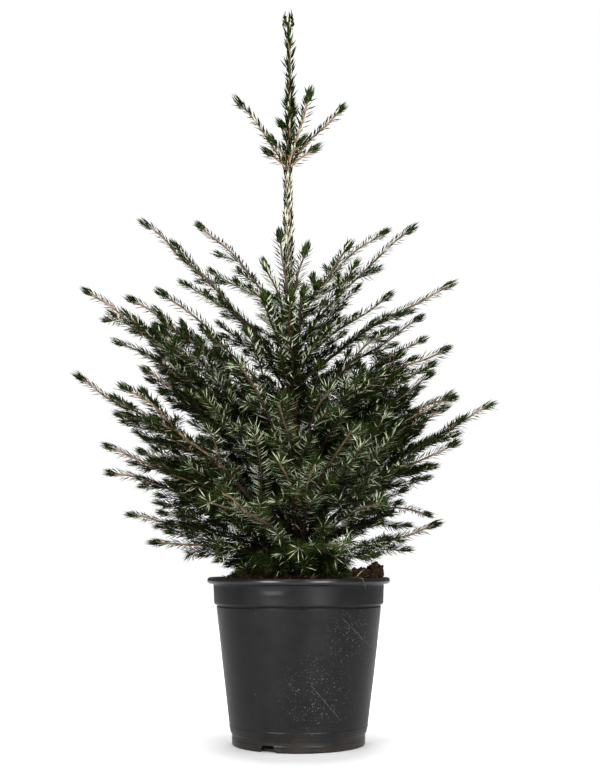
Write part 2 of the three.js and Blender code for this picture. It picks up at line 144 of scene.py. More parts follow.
# %% [markdown]
# ## Camera, floor and light
#
# The plant was seen from a little above the pot's lip, looking slightly up. The camera stands there and
# tilts, because a shifted lens would spoil the other views. A white surround, a pale floor and four soft
# lamps give the even light of a studio. The surround is brighter to the camera than to the plant, which
# keeps the shadows between the needles deep.

# %% Camera
PICTURE_HEIGHT = 771
FOCAL_PIXELS = 1230
HORIZON_BELOW_MIDDLE = 168
SENSOR = 36.0
CAMERA_PLACE = (0.002, -1.650, 0.245)

camera = bpy.data.objects.new("camera", bpy.data.cameras.new("camera"))
bpy.context.scene.collection.objects.link(camera)
camera.data.sensor_width = SENSOR
camera.data.lens = SENSOR * FOCAL_PIXELS / PICTURE_HEIGHT
camera.location = CAMERA_PLACE
camera.rotation_euler = (math.pi / 2 + math.atan(HORIZON_BELOW_MIDDLE / FOCAL_PIXELS), 0, 0)
bpy.context.scene.camera = camera
print("lens in millimetres:", round(camera.data.lens, 2))


# %% Nodes and their links
def place(tree, kind, sockets=None, **settings):
    """A node with its settings, and with a value or a link in each of the named sockets."""
    node = tree.nodes.new(kind)
    for name, value in settings.items():
        setattr(node, name, value)
    for name, value in (sockets or {}).items():
        if isinstance(value, bpy.types.NodeSocket):
            tree.links.new(value, node.inputs[name])
        else:
            node.inputs[name].default_value = value
    return node


def ramp(tree, value, start, end, low=0.0, high=1.0):
    """Low up to the start, high from the end on, and a straight slope between them."""
    sockets = {"Value": value, "From Min": start, "From Max": end, "To Min": low, "To Max": high}
    return place(tree, "ShaderNodeMapRange", sockets).outputs[0]


# %% White surround
SURROUND = {"seen": 1.0, "light": 0.10}


def glow_strength(tree, seen, light):
    """One strength for what the camera sees, another for what lights the plant."""
    ray = place(tree, "ShaderNodeLightPath").outputs["Is Camera Ray"]
    return ramp(tree, ray, 0.0, 1.0, light, seen)


world = bpy.data.worlds.new("white_surround")
world.use_nodes = True
world.node_tree.nodes.clear()
strength = glow_strength(world.node_tree, **SURROUND)
surround = place(world.node_tree, "ShaderNodeBackground", {"Color": (1, 1, 1, 1), "Strength": strength})
place(world.node_tree, "ShaderNodeOutputWorld", {"Surface": surround.outputs["Background"]})
bpy.context.scene.world = world
bpy.context.scene.view_settings.view_transform = "Standard"

# %% [markdown]
# The floor glows too, so that it melts into the surround. Just in front of the pot it glows less, and there
# the pot's soft shadow shows. A plain white floor would lose that shadow, and a grey one would show its edge.

# %% Pale floor
FLOOR_HALF = 9000.0
FLOOR_FINISH = {"Base Color": (0.8, 0.8, 0.8, 1), "Roughness": 0.9, "Specular IOR Level": 0.1}
FLOOR_LIGHT = 0.10
SHADOW = {"middle": (0, -0.06, 0), "reach": (0.08, 0.26), "glow": (0.14, 0.92)}

floor_material = bpy.data.materials.new("pale_floor")
floor_material.use_nodes = True
floor_tree = floor_material.node_tree
floor_shader = floor_tree.nodes["Principled BSDF"]
for socket, value in FLOOR_FINISH.items():
    floor_shader.inputs[socket].default_value = value
floor_shader.inputs["Emission Color"].default_value = (1, 1, 1, 1)
floor_place = place(floor_tree, "ShaderNodeTexCoord").outputs["Object"]
to_middle = {0: floor_place, 1: SHADOW["middle"]}
from_pot = place(floor_tree, "ShaderNodeVectorMath", to_middle, operation="DISTANCE").outputs["Value"]
floor_seen = ramp(floor_tree, from_pot, *SHADOW["reach"], *SHADOW["glow"])
floor_glow = glow_strength(floor_tree, floor_seen, FLOOR_LIGHT)
floor_tree.links.new(floor_glow, floor_shader.inputs["Emission Strength"])
floor_corners = FLOOR_HALF * np.array([[-1, -1, 0], [1, -1, 0], [1, 1, 0], [-1, 1, 0]], float)
floor = new_object("floor", floor_corners, [np.arange(4)[None]], [floor_material])

# %% [markdown]
# A long lamp hangs overhead and two stand in front. The fourth is behind, because the back of the crown would
# otherwise be black. It lights the needles but isn't mirrored, or it would draw white lines along the lip.

# %% Soft lamps
LAMPS = {
    "overhead": {"place": (0.1, -0.8, 2.6), "size": (3.0, 0.8), "power": 50, "mirrored": True},
    "left_front": {"place": (-1.5, -2.1, 0.6), "size": (1.0, 1.0), "power": 41, "mirrored": True},
    "right_front": {"place": (1.2, -2.3, 0.55), "size": (1.0, 1.0), "power": 36, "mirrored": True},
    "back": {"place": (0.0, 2.4, 1.3), "size": (2.4, 1.0), "power": 46, "mirrored": False},
}
LIT_POINT = Vector((0, 0, 0.4))
for name, lamp in LAMPS.items():
    light = bpy.data.lights.new(name, "AREA")
    light.shape = "RECTANGLE"
    light.size, light.size_y = lamp["size"]
    light.energy = lamp["power"]
    holder = bpy.data.objects.new(name, light)
    holder.location = lamp["place"]
    holder.visible_glossy = lamp["mirrored"]
    holder.rotation_euler = (LIT_POINT - holder.location).to_track_quat("-Z", "Y").to_euler()
    bpy.context.scene.collection.objects.link(holder)
print("lamps:", ", ".join(LAMPS))

# %% [markdown]
# ## Effects that several finishes share
#
# Plastic, peat, bark and needles all vary in tone from place to place, carry small specks and have a fine
# relief. Each effect is one node group with named inputs, so a finish only says how large and how strong it
# is. The patterns follow the object's own coordinates, so they need no unwrapping.

# %% Making node groups
def new_group(name, inputs, outputs):
    """An empty shader node group, with its input node and its output node."""
    group = bpy.data.node_groups.new(name, "ShaderNodeTree")
    for label, kind, value in inputs:
        group.interface.new_socket(label, in_out="INPUT", socket_type=kind).default_value = value
    for label, kind in outputs:
        group.interface.new_socket(label, in_out="OUTPUT", socket_type=kind)
    return group, group.nodes.new("NodeGroupInput"), group.nodes.new("NodeGroupOutput")


def use_group(tree, group, **values):
    """A node of that group. A value's name is its socket's, with _ for a space."""
    sockets = {name.replace("_", " "): value for name, value in values.items()}
    return place(tree, "ShaderNodeGroup", sockets, node_tree=group)


def blend(tree, mask, low, high):
    """The colour between two colours that the mask picks."""
    return place(tree, "ShaderNodeMix", {0: mask, 6: low, 7: high}, data_type="RGBA").outputs[2]


def maths(tree, operation, first, second):
    return place(tree, "ShaderNodeMath", {0: first, 1: second}, operation=operation).outputs[0]


def stretched_place(tree, stretch):
    where = place(tree, "ShaderNodeTexCoord").outputs["Object"]
    return place(tree, "ShaderNodeVectorMath", {0: where, 1: stretch}, operation="MULTIPLY").outputs[0]


COLOR, FLOAT, VECTOR = "NodeSocketColor", "NodeSocketFloat", "NodeSocketVector"


# %% Mottling: two tones in soft patches
PATCH_EDGE = (0.32, 0.68)


def mottling_group():
    group, given, result = new_group(
        "Mottling",
        [
            ("Patch Scale", FLOAT, 100.0),
            ("Stretch", VECTOR, (1, 1, 1)),
            ("Dark Tone", COLOR, (0, 0, 0, 1)),
            ("Light Tone", COLOR, (1, 1, 1, 1)),
        ],
        [("Color", COLOR), ("Mask", FLOAT)],
    )
    where = stretched_place(group, given.outputs["Stretch"])
    cloud = place(
        group,
        "ShaderNodeTexNoise",
        {"Vector": where, "Scale": given.outputs["Patch Scale"], "Detail": 4.0, "Roughness": 0.6},
    )
    mask = ramp(group, cloud.outputs[0], *PATCH_EDGE)
    tone = blend(group, mask, given.outputs["Dark Tone"], given.outputs["Light Tone"])
    group.links.new(tone, result.inputs["Color"])
    group.links.new(mask, result.inputs["Mask"])
    return group


# %% Specks: small dots, some larger than others
def specks_group():
    group, given, result = new_group(
        "Specks",
        [("Dot Scale", FLOAT, 200.0), ("Share", FLOAT, 0.3), ("Dot Size", FLOAT, 0.2)],
        [("Mask", FLOAT)],
    )
    where = place(group, "ShaderNodeTexCoord").outputs["Object"]
    cells = place(group, "ShaderNodeTexVoronoi", {"Vector": where, "Scale": given.outputs["Dot Scale"]})
    chance = place(group, "ShaderNodeSeparateColor", {"Color": cells.outputs["Color"]})
    size = maths(group, "MULTIPLY", chance.outputs["Green"], given.outputs["Dot Size"])
    inside = maths(group, "LESS_THAN", cells.outputs["Distance"], size)
    kept = maths(group, "LESS_THAN", chance.outputs["Red"], given.outputs["Share"])
    group.links.new(maths(group, "MULTIPLY", inside, kept), result.inputs["Mask"])
    return group


# %% Relief: fine height for a bump
def relief_group():
    group, given, result = new_group(
        "Relief", [("Grain Scale", FLOAT, 500.0), ("Stretch", VECTOR, (1, 1, 1))], [("Height", FLOAT)]
    )
    where = stretched_place(group, given.outputs["Stretch"])
    grain = place(
        group,
        "ShaderNodeTexNoise",
        {"Vector": where, "Scale": given.outputs["Grain Scale"], "Detail": 6.0, "Roughness": 0.65},
    )
    group.links.new(grain.outputs[0], result.inputs["Height"])
    return group


MOTTLING, SPECKS, RELIEF = mottling_group(), specks_group(), relief_group()
print("shared effects:", MOTTLING.name, SPECKS.name, RELIEF.name)


# %% A material with one shader
def new_material(name, roughness, specular):
    material = bpy.data.materials.new(name)
    material.use_nodes = True
    shader = material.node_tree.nodes["Principled BSDF"]
    shader.inputs["Roughness"].default_value = roughness
    shader.inputs["Specular IOR Level"].default_value = specular
    return material, material.node_tree, shader


def roughen(tree, shader, grain_scale, strength, depth, stretch=(1, 1, 1)):
    """Relief on the shader's normal. The depth is in millimetres."""
    height = use_group(tree, RELIEF, Grain_Scale=grain_scale, Stretch=stretch).outputs["Height"]
    bump = place(tree, "ShaderNodeBump", {"Height": height, "Strength": strength, "Distance": depth * MM})
    tree.links.new(bump.outputs["Normal"], shader.inputs["Normal"])


def mottled_material(name, dark, light, patch_scale, roughness, specular=0.3, stretch=(1, 1, 1)):
    """A finish in two tones, for needles, twigs and crumbs."""
    material, tree, shader = new_material(name, roughness, specular)
    tone = use_group(
        tree, MOTTLING, Patch_Scale=patch_scale, Stretch=stretch, Dark_Tone=(*dark, 1), Light_Tone=(*light, 1)
    )
    tree.links.new(tone.outputs["Color"], shader.inputs["Base Color"])
    return material, tree, shader


# %% [markdown]
# ## The pot
#
# The pot is blown from thin black plastic: a narrow foot, a tapered wall, an upright band and a rolled lip.
# A turned profile is the natural way to make it. A few shallow dents keep the highlights from running dead
# straight, and wedges cut the drain holes out of the corner at the foot, as in the mould.

# %% Pot sizes
POT_HEIGHT = 214.0
POT_WALL = 2.0
POT_FLOOR = 3.0
POT_SEGMENTS = 144
LIP = {"radius": 120.0, "depth": 8.0, "round": 3.4, "inner_round": 2.2, "fillet": 1.4}
OUTER_HEIGHTS = [1.0, 13.0, 20.0, 178.0, 180.4, 206.0]
OUTER_RADII = [86.5, 86.5, 89.3, 107.5, 110.5, 112.0]
INSIDE_HEIGHTS = [200.0, 190.0, 181.0, 176.0, 130.0, 80.0, 20.0, 11.0]
FOOT_BEVEL = 1.0
DRAIN = {"count": 3, "bearing": 243.6, "width": 24.0, "top_width": 15.0, "height": 8.6, "depth": 9.0}
# Height, swell and half height of the beads at the foot and of the groove under the band
BEADS = [(7.5, 0.35, 0.7), (16.5, 0.55, 0.8), (24.0, 0.5, 0.8), (177.4, -1.0, 0.7)]
# First height, last height and spacing of the rings, which crowd where the beads and the groove are
RING_SPANS = [(2.0, 28.0, 0.8), (28.0, 174.0, 5.0), (174.0, 183.0, 0.6), (184.0, 206.0, 2.0)]
# Bearing, height, depth, half width and half height of the dents
DENTS = [
    (253, 199, 0.36, 7, 3),
    (258, 194, -0.35, 9, 2.5),
    (285, 193, 0.1, 16, 9),
    (240, 110, 0.6, 9, 40),
    (296, 70, 0.7, 11, 30),
    (0, 125, -2.2, 45, 95),
    (182, 140, -1.0, 40, 95),
]
OVAL = {"deep": 0.25, "turn": 40}


def wall_radius(height):
    return np.interp(height, OUTER_HEIGHTS, OUTER_RADII)


def bead_swell(height):
    return sum(swell * np.exp(-(((height - middle) / half) ** 2)) for middle, swell, half in BEADS)


def dent_depth(bearing, height):
    """How far the wall is pushed in: it is a little oval, and it has been dented by hand."""
    depth = OVAL["deep"] * np.cos(np.radians(2 * bearing + OVAL["turn"]))
    for middle, level, deep, wide, tall in DENTS:
        away = (bearing - middle + 180) % 360 - 180
        depth = depth + deep * np.exp(-((away / wide) ** 2) - ((height - level) / tall) ** 2)
    return depth


# %% Pot profile and lathe
def arc(centre, radius, start, end, count=6):
    angle = np.radians(np.linspace(start, end, count))
    return np.stack([centre[0] + radius * np.cos(angle), centre[1] + radius * np.sin(angle)], axis=1)


def pot_profile():
    """Radius and height from the middle of the underside, up the outside, over the lip and down inside."""
    outside = np.concatenate([[FOOT_BEVEL], *(np.arange(*span) for span in RING_SPANS)])
    under_lip = POT_HEIGHT - LIP["depth"]
    edge, tight, fillet = LIP["radius"] - LIP["round"], LIP["inner_round"], LIP["fillet"]
    inner = wall_radius(under_lip) - POT_WALL
    inside = np.array([POT_HEIGHT - tight * 2, *INSIDE_HEIGHTS])
    return np.concatenate(
        [
            [[0, 0], [wall_radius(0) - FOOT_BEVEL, 0]],
            np.stack([wall_radius(outside) + bead_swell(outside), outside], axis=1),
            arc((wall_radius(under_lip) + fillet, under_lip - fillet), fillet, 180, 90, 4),
            arc((edge, under_lip + LIP["round"]), LIP["round"], -90, 0),
            arc((edge, POT_HEIGHT - LIP["round"]), LIP["round"], 0, 90),
            arc((inner + tight, POT_HEIGHT - tight), tight, 90, 180),
            np.stack([wall_radius(inside) - POT_WALL, inside], axis=1),
            [[wall_radius(POT_FLOOR) - POT_WALL, POT_FLOOR], [0, POT_FLOOR]],
        ]
    )


def lathe(profile, segments, push):
    """A closed turned mesh. The profile starts and ends on the axis, and push(bearing, height) dents it."""
    bearing = np.linspace(0, 360, segments, endpoint=False)
    turned = profile[1:-1]
    radius = turned[:, :1] - push(bearing[None], turned[:, 1:])
    points = radius[..., None] * outward(bearing)[None] + turned[:, 1][:, None, None] * UP
    index = np.arange(points.shape[0] * segments).reshape(-1, segments)
    beside = np.roll(index, -1, axis=1)
    walls = np.stack([index[:-1], beside[:-1], beside[1:], index[1:]], axis=-1).reshape(-1, 4)
    low, high = index.size, index.size + 1
    fans = np.concatenate(
        [
            np.stack([np.full(segments, low), beside[0], index[0]], axis=1),
            np.stack([index[-1], beside[-1], np.full(segments, high)], axis=1),
        ]
    )
    poles = np.array([[0, 0, profile[0, 1]], [0, 0, profile[-1, 1]]])
    return np.concatenate([points.reshape(-1, 3), poles]), [walls, fans]


# %% Drain holes
def drain_wedge(bearing):
    """A wedge that opens the corner between the wall and the floor."""
    low, high, deep = DRAIN["width"] / 2, DRAIN["top_width"] / 2, DRAIN["depth"]
    outline = [(-low, -FOOT_BEVEL), (low, -FOOT_BEVEL), (high, DRAIN["height"]), (-high, DRAIN["height"])]
    out, across = outward(bearing), outward(bearing + 90)
    points = [
        out * (OUTER_RADII[0] + reach) + across * sideways + UP * height
        for reach in (-deep, deep)
        for sideways, height in outline
    ]
    sides = [(3, 2, 1, 0), (4, 5, 6, 7)] + [(i, (i + 1) % 4, (i + 1) % 4 + 4, i + 4) for i in range(4)]
    return new_object("drain_wedge", np.array(points), [np.array(sides)], smooth=False)


def cut_away(piece, cutters):
    """The piece without the cutters, which are removed."""
    for cutter in cutters:
        cut = piece.modifiers.new("drain", "BOOLEAN")
        cut.operation = "DIFFERENCE"
        cut.solver = "EXACT"
        cut.object = cutter
    bpy.context.view_layer.update()
    whole = piece.evaluated_get(bpy.context.evaluated_depsgraph_get())
    piece.data = bpy.data.meshes.new_from_object(whole)
    piece.modifiers.clear()
    for cutter in cutters:
        bpy.data.objects.remove(cutter)


# %% [markdown]
# The plastic is charcoal, not pure black, with a soft sheen, and the lip is polished by hands. Its front has
# been handled too: pale dust in two patches, two long scratches that cross them, and a brown film of dried
# mud at the foot. They lie where they do because of how the pot was carried, so their places are given in
# the pot's own coordinates.

# %% Dust, scratches and mud
# Middle and reach of each patch of dust, and the x and z of each scratch's ends
DUST_PATCHES = [((28, -100, 72), 62), ((70, -80, 142), 50)]
SCRATCHES = [((16, 83), (53, 39)), ((52, 168), (93, 126))]
SCRATCH = {"width": 0.45, "patch_scale": 170.0}
FINE_DUST = {"Dot_Scale": 480.0, "Share": 0.6, "Dot_Size": 0.38}
COARSE_DUST = {"Dot_Scale": 250.0, "Share": 0.35, "Dot_Size": 0.28}
LONE_SPECKS = {"Dot_Scale": 90.0, "Share": 0.4, "Dot_Size": 0.08}
STRENGTH = {"lone": 0.5, "dust": 0.45, "scratch": 0.6, "mud": 0.55, "matt": 0.9}
MUD = {"top": 34.0, "patch_scale": 38.0}


def falling(tree, value, reach):
    """1 where the value is 0, falling to 0 at the reach, which is in millimetres."""
    return ramp(tree, value, 0.0, reach * MM, 1.0, 0.0)


def patch_mask(tree, where, middle, reach):
    """A round patch that fades outwards."""
    point = [v * MM for v in middle]
    away = place(tree, "ShaderNodeVectorMath", {0: where, 1: point}, operation="DISTANCE")
    return falling(tree, away.outputs["Value"], reach)


def scratch_mask(tree, where, start, end):
    """1 on a straight broken scratch on the front, given by its ends' x and z."""
    run = np.array([end[0] - start[0], 0, end[1] - start[1]])
    length = np.linalg.norm(run)
    axes = run / length, np.array([-run[2], 0, run[0]]) / length
    origin = [start[0] * MM, 0, start[1] * MM]
    local = place(tree, "ShaderNodeVectorMath", {0: where, 1: origin}, operation="SUBTRACT").outputs[0]
    along, across = (
        place(tree, "ShaderNodeVectorMath", {0: local, 1: axis.tolist()}, operation="DOT_PRODUCT")
        for axis in axes
    )
    from_middle = maths(tree, "SUBTRACT", along.outputs["Value"], length * MM / 2)
    within = maths(tree, "LESS_THAN", maths(tree, "ABSOLUTE", from_middle, 0.0), length * MM / 2)
    off_line = maths(tree, "ABSOLUTE", across.outputs["Value"], 0.0)
    thin = maths(tree, "LESS_THAN", off_line, SCRATCH["width"] * MM / 2)
    front = maths(tree, "LESS_THAN", place(tree, "ShaderNodeSeparateXYZ", {0: where}).outputs["Y"], 0.0)
    broken = use_group(tree, MOTTLING, Patch_Scale=SCRATCH["patch_scale"]).outputs["Mask"]
    line = maths(tree, "MULTIPLY", within, thin)
    return maths(tree, "MULTIPLY", line, maths(tree, "MULTIPLY", front, broken))


def dust_mask(tree, where):
    """Fine and coarse dust in the patches, and lone specks all over."""
    fine, coarse, lone = (
        use_group(tree, SPECKS, **size).outputs["Mask"] for size in (FINE_DUST, COARSE_DUST, LONE_SPECKS)
    )
    near = maths(tree, "MAXIMUM", *(patch_mask(tree, where, *patch) for patch in DUST_PATCHES))
    patches = maths(tree, "MULTIPLY", maths(tree, "MAXIMUM", fine, coarse), near)
    return maths(tree, "MAXIMUM", patches, maths(tree, "MULTIPLY", lone, STRENGTH["lone"]))


def marks_mask(tree, where):
    """Dust and scratches together."""
    scratches = maths(tree, "MAXIMUM", *(scratch_mask(tree, where, *ends) for ends in SCRATCHES))
    dust = maths(tree, "MULTIPLY", dust_mask(tree, where), STRENGTH["dust"])
    return maths(tree, "MAXIMUM", dust, maths(tree, "MULTIPLY", scratches, STRENGTH["scratch"]))


def mud_mask(tree, height):
    """A smeared film that fades upwards."""
    smear = use_group(tree, MOTTLING, Patch_Scale=MUD["patch_scale"]).outputs["Mask"]
    film = maths(tree, "MULTIPLY", falling(tree, height, MUD["top"]), smear)
    return maths(tree, "MULTIPLY", film, STRENGTH["mud"])


# %% Pot finish
PLASTIC = {"roughness": 0.42, "specular": 0.22, "patch_scale": 45.0, "dull": (0.30, 0.38)}
PLASTIC_DARK, PLASTIC_LIGHT = (0.0070, 0.0069, 0.0077, 1), (0.0104, 0.0103, 0.0114, 1)
MUD_TONE, DUST_TONE = (0.060, 0.046, 0.036, 1), (0.30, 0.29, 0.27, 1)
POLISHED = {"from": 206.0, "to": 209.0, "weight": 0.8, "roughness": 0.2}


def pot_plastic():
    material, tree, shader = new_material("pot_plastic", PLASTIC["roughness"], PLASTIC["specular"])
    shader.inputs["Coat Roughness"].default_value = POLISHED["roughness"]
    where = place(tree, "ShaderNodeTexCoord").outputs["Object"]
    height = place(tree, "ShaderNodeSeparateXYZ", {0: where}).outputs["Z"]
    tones = {"Dark_Tone": PLASTIC_DARK, "Light_Tone": PLASTIC_LIGHT}
    plastic = use_group(tree, MOTTLING, Patch_Scale=PLASTIC["patch_scale"], **tones)
    marks, mud = marks_mask(tree, where), mud_mask(tree, height)
    muddy = blend(tree, mud, plastic.outputs["Color"], MUD_TONE)
    tree.links.new(blend(tree, marks, muddy, DUST_TONE), shader.inputs["Base Color"])
    dull = ramp(tree, plastic.outputs["Mask"], 0.0, 1.0, *PLASTIC["dull"])
    matt = maths(tree, "MULTIPLY", maths(tree, "MAXIMUM", mud, marks), STRENGTH["matt"])
    tree.links.new(maths(tree, "MAXIMUM", dull, matt), shader.inputs["Roughness"])
    polish = ramp(tree, height, POLISHED["from"] * MM, POLISHED["to"] * MM, high=POLISHED["weight"])
    tree.links.new(polish, shader.inputs["Coat Weight"])
    roughen(tree, shader, grain_scale=900.0, strength=0.12, depth=0.3)
    return material


# %% Make the pot
pot = new_object("pot_shell", *lathe(pot_profile(), POT_SEGMENTS, dent_depth), [pot_plastic()])
turns = [DRAIN["bearing"] + i * 360 / DRAIN["count"] for i in range(DRAIN["count"])]
cut_away(pot, [drain_wedge(turn) for turn in turns])
add_to_plant(pot, "pot", "pot")

# %% [markdown]
# ## The trunk's line
#
# Soil, boughs and needles all keep clear of the trunk, so its line comes first. It leans a little to the left
# in a gentle curve, tapers from the flare at the soil to the fork, and from there the leading shoot goes on.

# %% Trunk line
GROUND = 220.0
FORK = 786.0
TRUNK = {"foot_x": 6.0, "lean": 21.0, "foot_radius": 9.5, "fork_radius": 3.6}
FLARE = {"radius": 4.5, "reach": 12.0}


def trunk_share(height):
    return np.clip((np.asarray(height, float) - GROUND) / (FORK - GROUND), 0, 1)


def trunk_point(height):
    height = np.asarray(height, float)
    x = TRUNK["foot_x"] - TRUNK["lean"] * (1 - (1 - trunk_share(height)) ** 2)
    return np.stack([x, np.zeros_like(height), height], axis=-1)


def trunk_radius(height):
    flare = FLARE["radius"] * np.exp(-(np.asarray(height, float) - GROUND) / FLARE["reach"])
    return mix(TRUNK["foot_radius"], TRUNK["fork_radius"], trunk_share(height)) + flare


# %% [markdown]
# ## The soil
#
# Moist peat fills the pot to just under its lip and stands a little higher in the middle, with clods at the
# edge. One fine sheet carries the dome and the clods, layered noise makes it crumbly, and loose crumbs, bits
# of wood and fallen needles lie on it. A displaced surface alone would look like cloth.

# %% Soil shape
SOIL = {"edge": 206.0, "crown": 220.0, "steepness": 2.4, "pad": 24.0, "radius": 110.4}
SOIL_MESH = {"rings": 62, "segments": 168}
# Bearing, distance, radius and height of the swells under the clods
SWELLS = [
    (6, 92, 17, 6),
    (28, 70, 20, 6),
    (335, 74, 16, 4),
    (60, 84, 18, 5),
    (175, 82, 22, 4),
    (120, 78, 20, 5),
]
SOIL_BELOW = [(107.5, 181.0), (105.0, 176.0), (80.0, 24.0), (70.0, 14.0)]
# Size and depth of each layer of crumbs, and how the noise in a layer is built up
CRUMBLE = [(13.0, 2.6), (4.2, 1.1)]
CRUMBLE_NOISE = (0.8, 2.1, 3)


def soil_height(x, y):
    """The smooth dome with its swells, and a level pad round the trunk."""
    out_share = np.minimum(1, np.hypot(x, y) / SOIL["radius"])
    height = mix(SOIL["crown"], SOIL["edge"], out_share ** SOIL["steepness"])
    for bearing, distance, radius, tall in SWELLS:
        middle = distance * outward(bearing)
        height = height + tall * np.exp(-((x - middle[0]) ** 2 + (y - middle[1]) ** 2) / radius**2)
    from_trunk = np.hypot(x - TRUNK["foot_x"], y)
    return mix(GROUND, height, smooth_step(from_trunk, SOIL["pad"], SOIL["pad"] * 2))


def crumble(points):
    """Layered noise at each point, in millimetres."""
    height = np.zeros(len(points))
    for size, deep in CRUMBLE:
        height += [deep * noise.fractal(Vector(point / size), *CRUMBLE_NOISE) for point in points]
    return height


def soil_mesh():
    rings, segments = SOIL_MESH["rings"], SOIL_MESH["segments"]
    spokes = outward(np.linspace(0, 360, segments, endpoint=False))
    share = (np.arange(rings) + 1) / rings
    shift = TRUNK["foot_x"] * (1 - share)[:, None, None] * [1, 0, 0]
    top = (SOIL["radius"] * share[:, None, None] * spokes[None] + shift).reshape(-1, 3)
    top[:, 2] = soil_height(top[:, 0], top[:, 1])
    top[:, 2] += crumble(top)
    below = np.concatenate([radius * spokes + height * UP for radius, height in SOIL_BELOW])
    index = np.arange((rings + len(SOIL_BELOW)) * segments).reshape(-1, segments)
    beside = np.roll(index, -1, axis=1)
    walls = np.stack([index[:-1], index[1:], beside[1:], beside[:-1]], axis=-1).reshape(-1, 4)
    fans = np.concatenate(
        [
            np.stack([np.full(segments, index.size), index[0], beside[0]], axis=1),
            np.stack([index[-1], np.full(segments, index.size + 1), beside[-1]], axis=1),
        ]
    )
    poles = [[TRUNK["foot_x"], 0, GROUND], [0, 0, SOIL_BELOW[-1][1]]]
    return np.concatenate([top, below, poles]), [walls, fans]


# %% Peat finish
PEAT_PATCHES = 160.0
GRIT = {"Dot_Scale": 260.0, "Share": 0.12, "Dot_Size": 0.45}
GRIT_TONE = (0.16, 0.10, 0.065, 1)


def peat(name, dark, light, grain_scale):
    """Dark brown, patchy and quite matt, with pale grit."""
    material, tree, shader = mottled_material(name, dark, light, PEAT_PATCHES, roughness=0.95, specular=0.12)
    grit = use_group(tree, SPECKS, **GRIT).outputs["Mask"]
    tone = shader.inputs["Base Color"].links[0].from_socket
    tree.links.new(blend(tree, grit, tone, GRIT_TONE), shader.inputs["Base Color"])
    roughen(tree, shader, grain_scale, strength=0.7, depth=1.2)
    return material


soil_peat = peat("soil_peat", (0.010, 0.006, 0.0045), (0.050, 0.027, 0.017), grain_scale=420.0)
add_to_plant(new_object("soil_bed", *soil_mesh(), [soil_peat]), "soil", "soil")

# %% [markdown]
# Peat comes out of its bag in lumps. Small crumbs lie all over the soil, and a heap of larger clods leans on
# the lip at the right. Each is a ball with noise on it, because a mesh of its own casts its own shadow, and
# bumps in the surface of the soil would not stand free of it.

# %% Crumbs on the soil, and the heap of clods
CRUMB_SEED = 31
CRUMB = {"count": 300, "size": (1.1, 4.0), "mostly_small": 2.2, "detail": 2, "octaves": 2}
CLOD = {"detail": 4, "octaves": 5}
SCATTER = {"reach": 0.97, "inner": 0.25, "crowding": 0.6}
LUMP = {"squash": (0.65, 1.15), "grain": 1.6, "apart": 9.3, "deep": 0.42, "noise": (0.7, 2.1)}
# Bearing, distance, height and radius of each clod
HEAP = [
    (0, 107, 221, 8.0),
    (356, 101, 223, 8.0),
    (3, 103, 229, 6.5),
    (7, 97, 224, 7.5),
    (349, 99, 217, 7.5),
    (347, 89, 219, 7.5),
    (340, 88, 219, 7.5),
    (331, 84, 219, 7.5),
    (318, 84, 216, 7.0),
    (20, 92, 214, 7.0),
    (172, 96, 209, 6.5),
    (186, 90, 211, 6.0),
    (205, 97, 208, 5.5),
    (322, 98, 209, 5.5),
]


def lump_shape(detail):
    ball = bmesh.new()
    bmesh.ops.create_icosphere(ball, subdivisions=detail, radius=1.0)
    points = np.array([v.co for v in ball.verts])
    faces = np.array([[v.index for v in face.verts] for face in ball.faces])
    ball.free()
    return points, faces


def spots_on_soil(count, chance, reach=SCATTER["reach"]):
    """Random places on the soil, more of them near the pot's edge."""
    distance = SOIL["radius"] * reach * chance.uniform(SCATTER["inner"], 1, count) ** SCATTER["crowding"]
    spots = distance[:, None] * outward(chance.uniform(0, 360, count))
    spots[:, 2] = soil_height(spots[:, 0], spots[:, 1]) + crumble(spots * [1, 1, 0] + GROUND * UP)
    return spots


def lump_mesh(middles, sizes, detail, octaves, chance):
    """Rough lumps of the given sizes round the given points."""
    lump, faces = lump_shape(detail)
    squash = chance.uniform(*LUMP["squash"], (len(sizes), 1, 3))
    spots = lump[None] * LUMP["grain"] + (np.arange(len(sizes)) * LUMP["apart"])[:, None, None]
    bumps = [noise.fractal(Vector(spot), *LUMP["noise"], octaves) for spot in spots.reshape(-1, 3)]
    relief = 1 + LUMP["deep"] * np.array(bumps).reshape(len(sizes), -1, 1)
    lumps = lump[None] * squash * relief * sizes[:, None, None]
    shifted = faces[None] + (np.arange(len(sizes)) * len(lump))[:, None, None]
    return (middles[:, None] + lumps).reshape(-1, 3), [shifted.reshape(-1, 3)]


chance = np.random.default_rng(CRUMB_SEED)
crumb_peat = peat("crumb_peat", (0.016, 0.009, 0.006), (0.070, 0.038, 0.024), grain_scale=600.0)
crumb_sizes = mix(*CRUMB["size"], chance.uniform(0, 1, CRUMB["count"]) ** CRUMB["mostly_small"])
crumb_spots = spots_on_soil(CRUMB["count"], chance)
crumbs = lump_mesh(crumb_spots, crumb_sizes, CRUMB["detail"], CRUMB["octaves"], chance)
add_to_plant(new_object("soil_crumbs", *crumbs, [crumb_peat]), "soil")
heap_rows = np.array(HEAP, float)
heap_spots = heap_rows[:, 1:2] * outward(heap_rows[:, 0]) + heap_rows[:, 2:3] * UP
clods = lump_mesh(heap_spots, heap_rows[:, 3], CLOD["detail"], CLOD["octaves"], chance)
add_to_plant(new_object("soil_clods", *clods, [crumb_peat]), "soil")

# %% Bits of wood and a root over the lip
CHIP_SEED = 77
CHIP = {
    "count": 46, "length": (5.0, 16.0), "radius": (0.5, 1.3), "sides": 6, "stations": 4, "lift": 0.8,
    "rise": (-0.12, 0.35), "bow": (-0.25, 0.25), "ragged": (0.7, 1.1), "end": 0.6,
}
ROOT = {"bearing": 311.5, "drift": (-5.0, 6.0), "radius": 0.7, "thinner": 0.55}
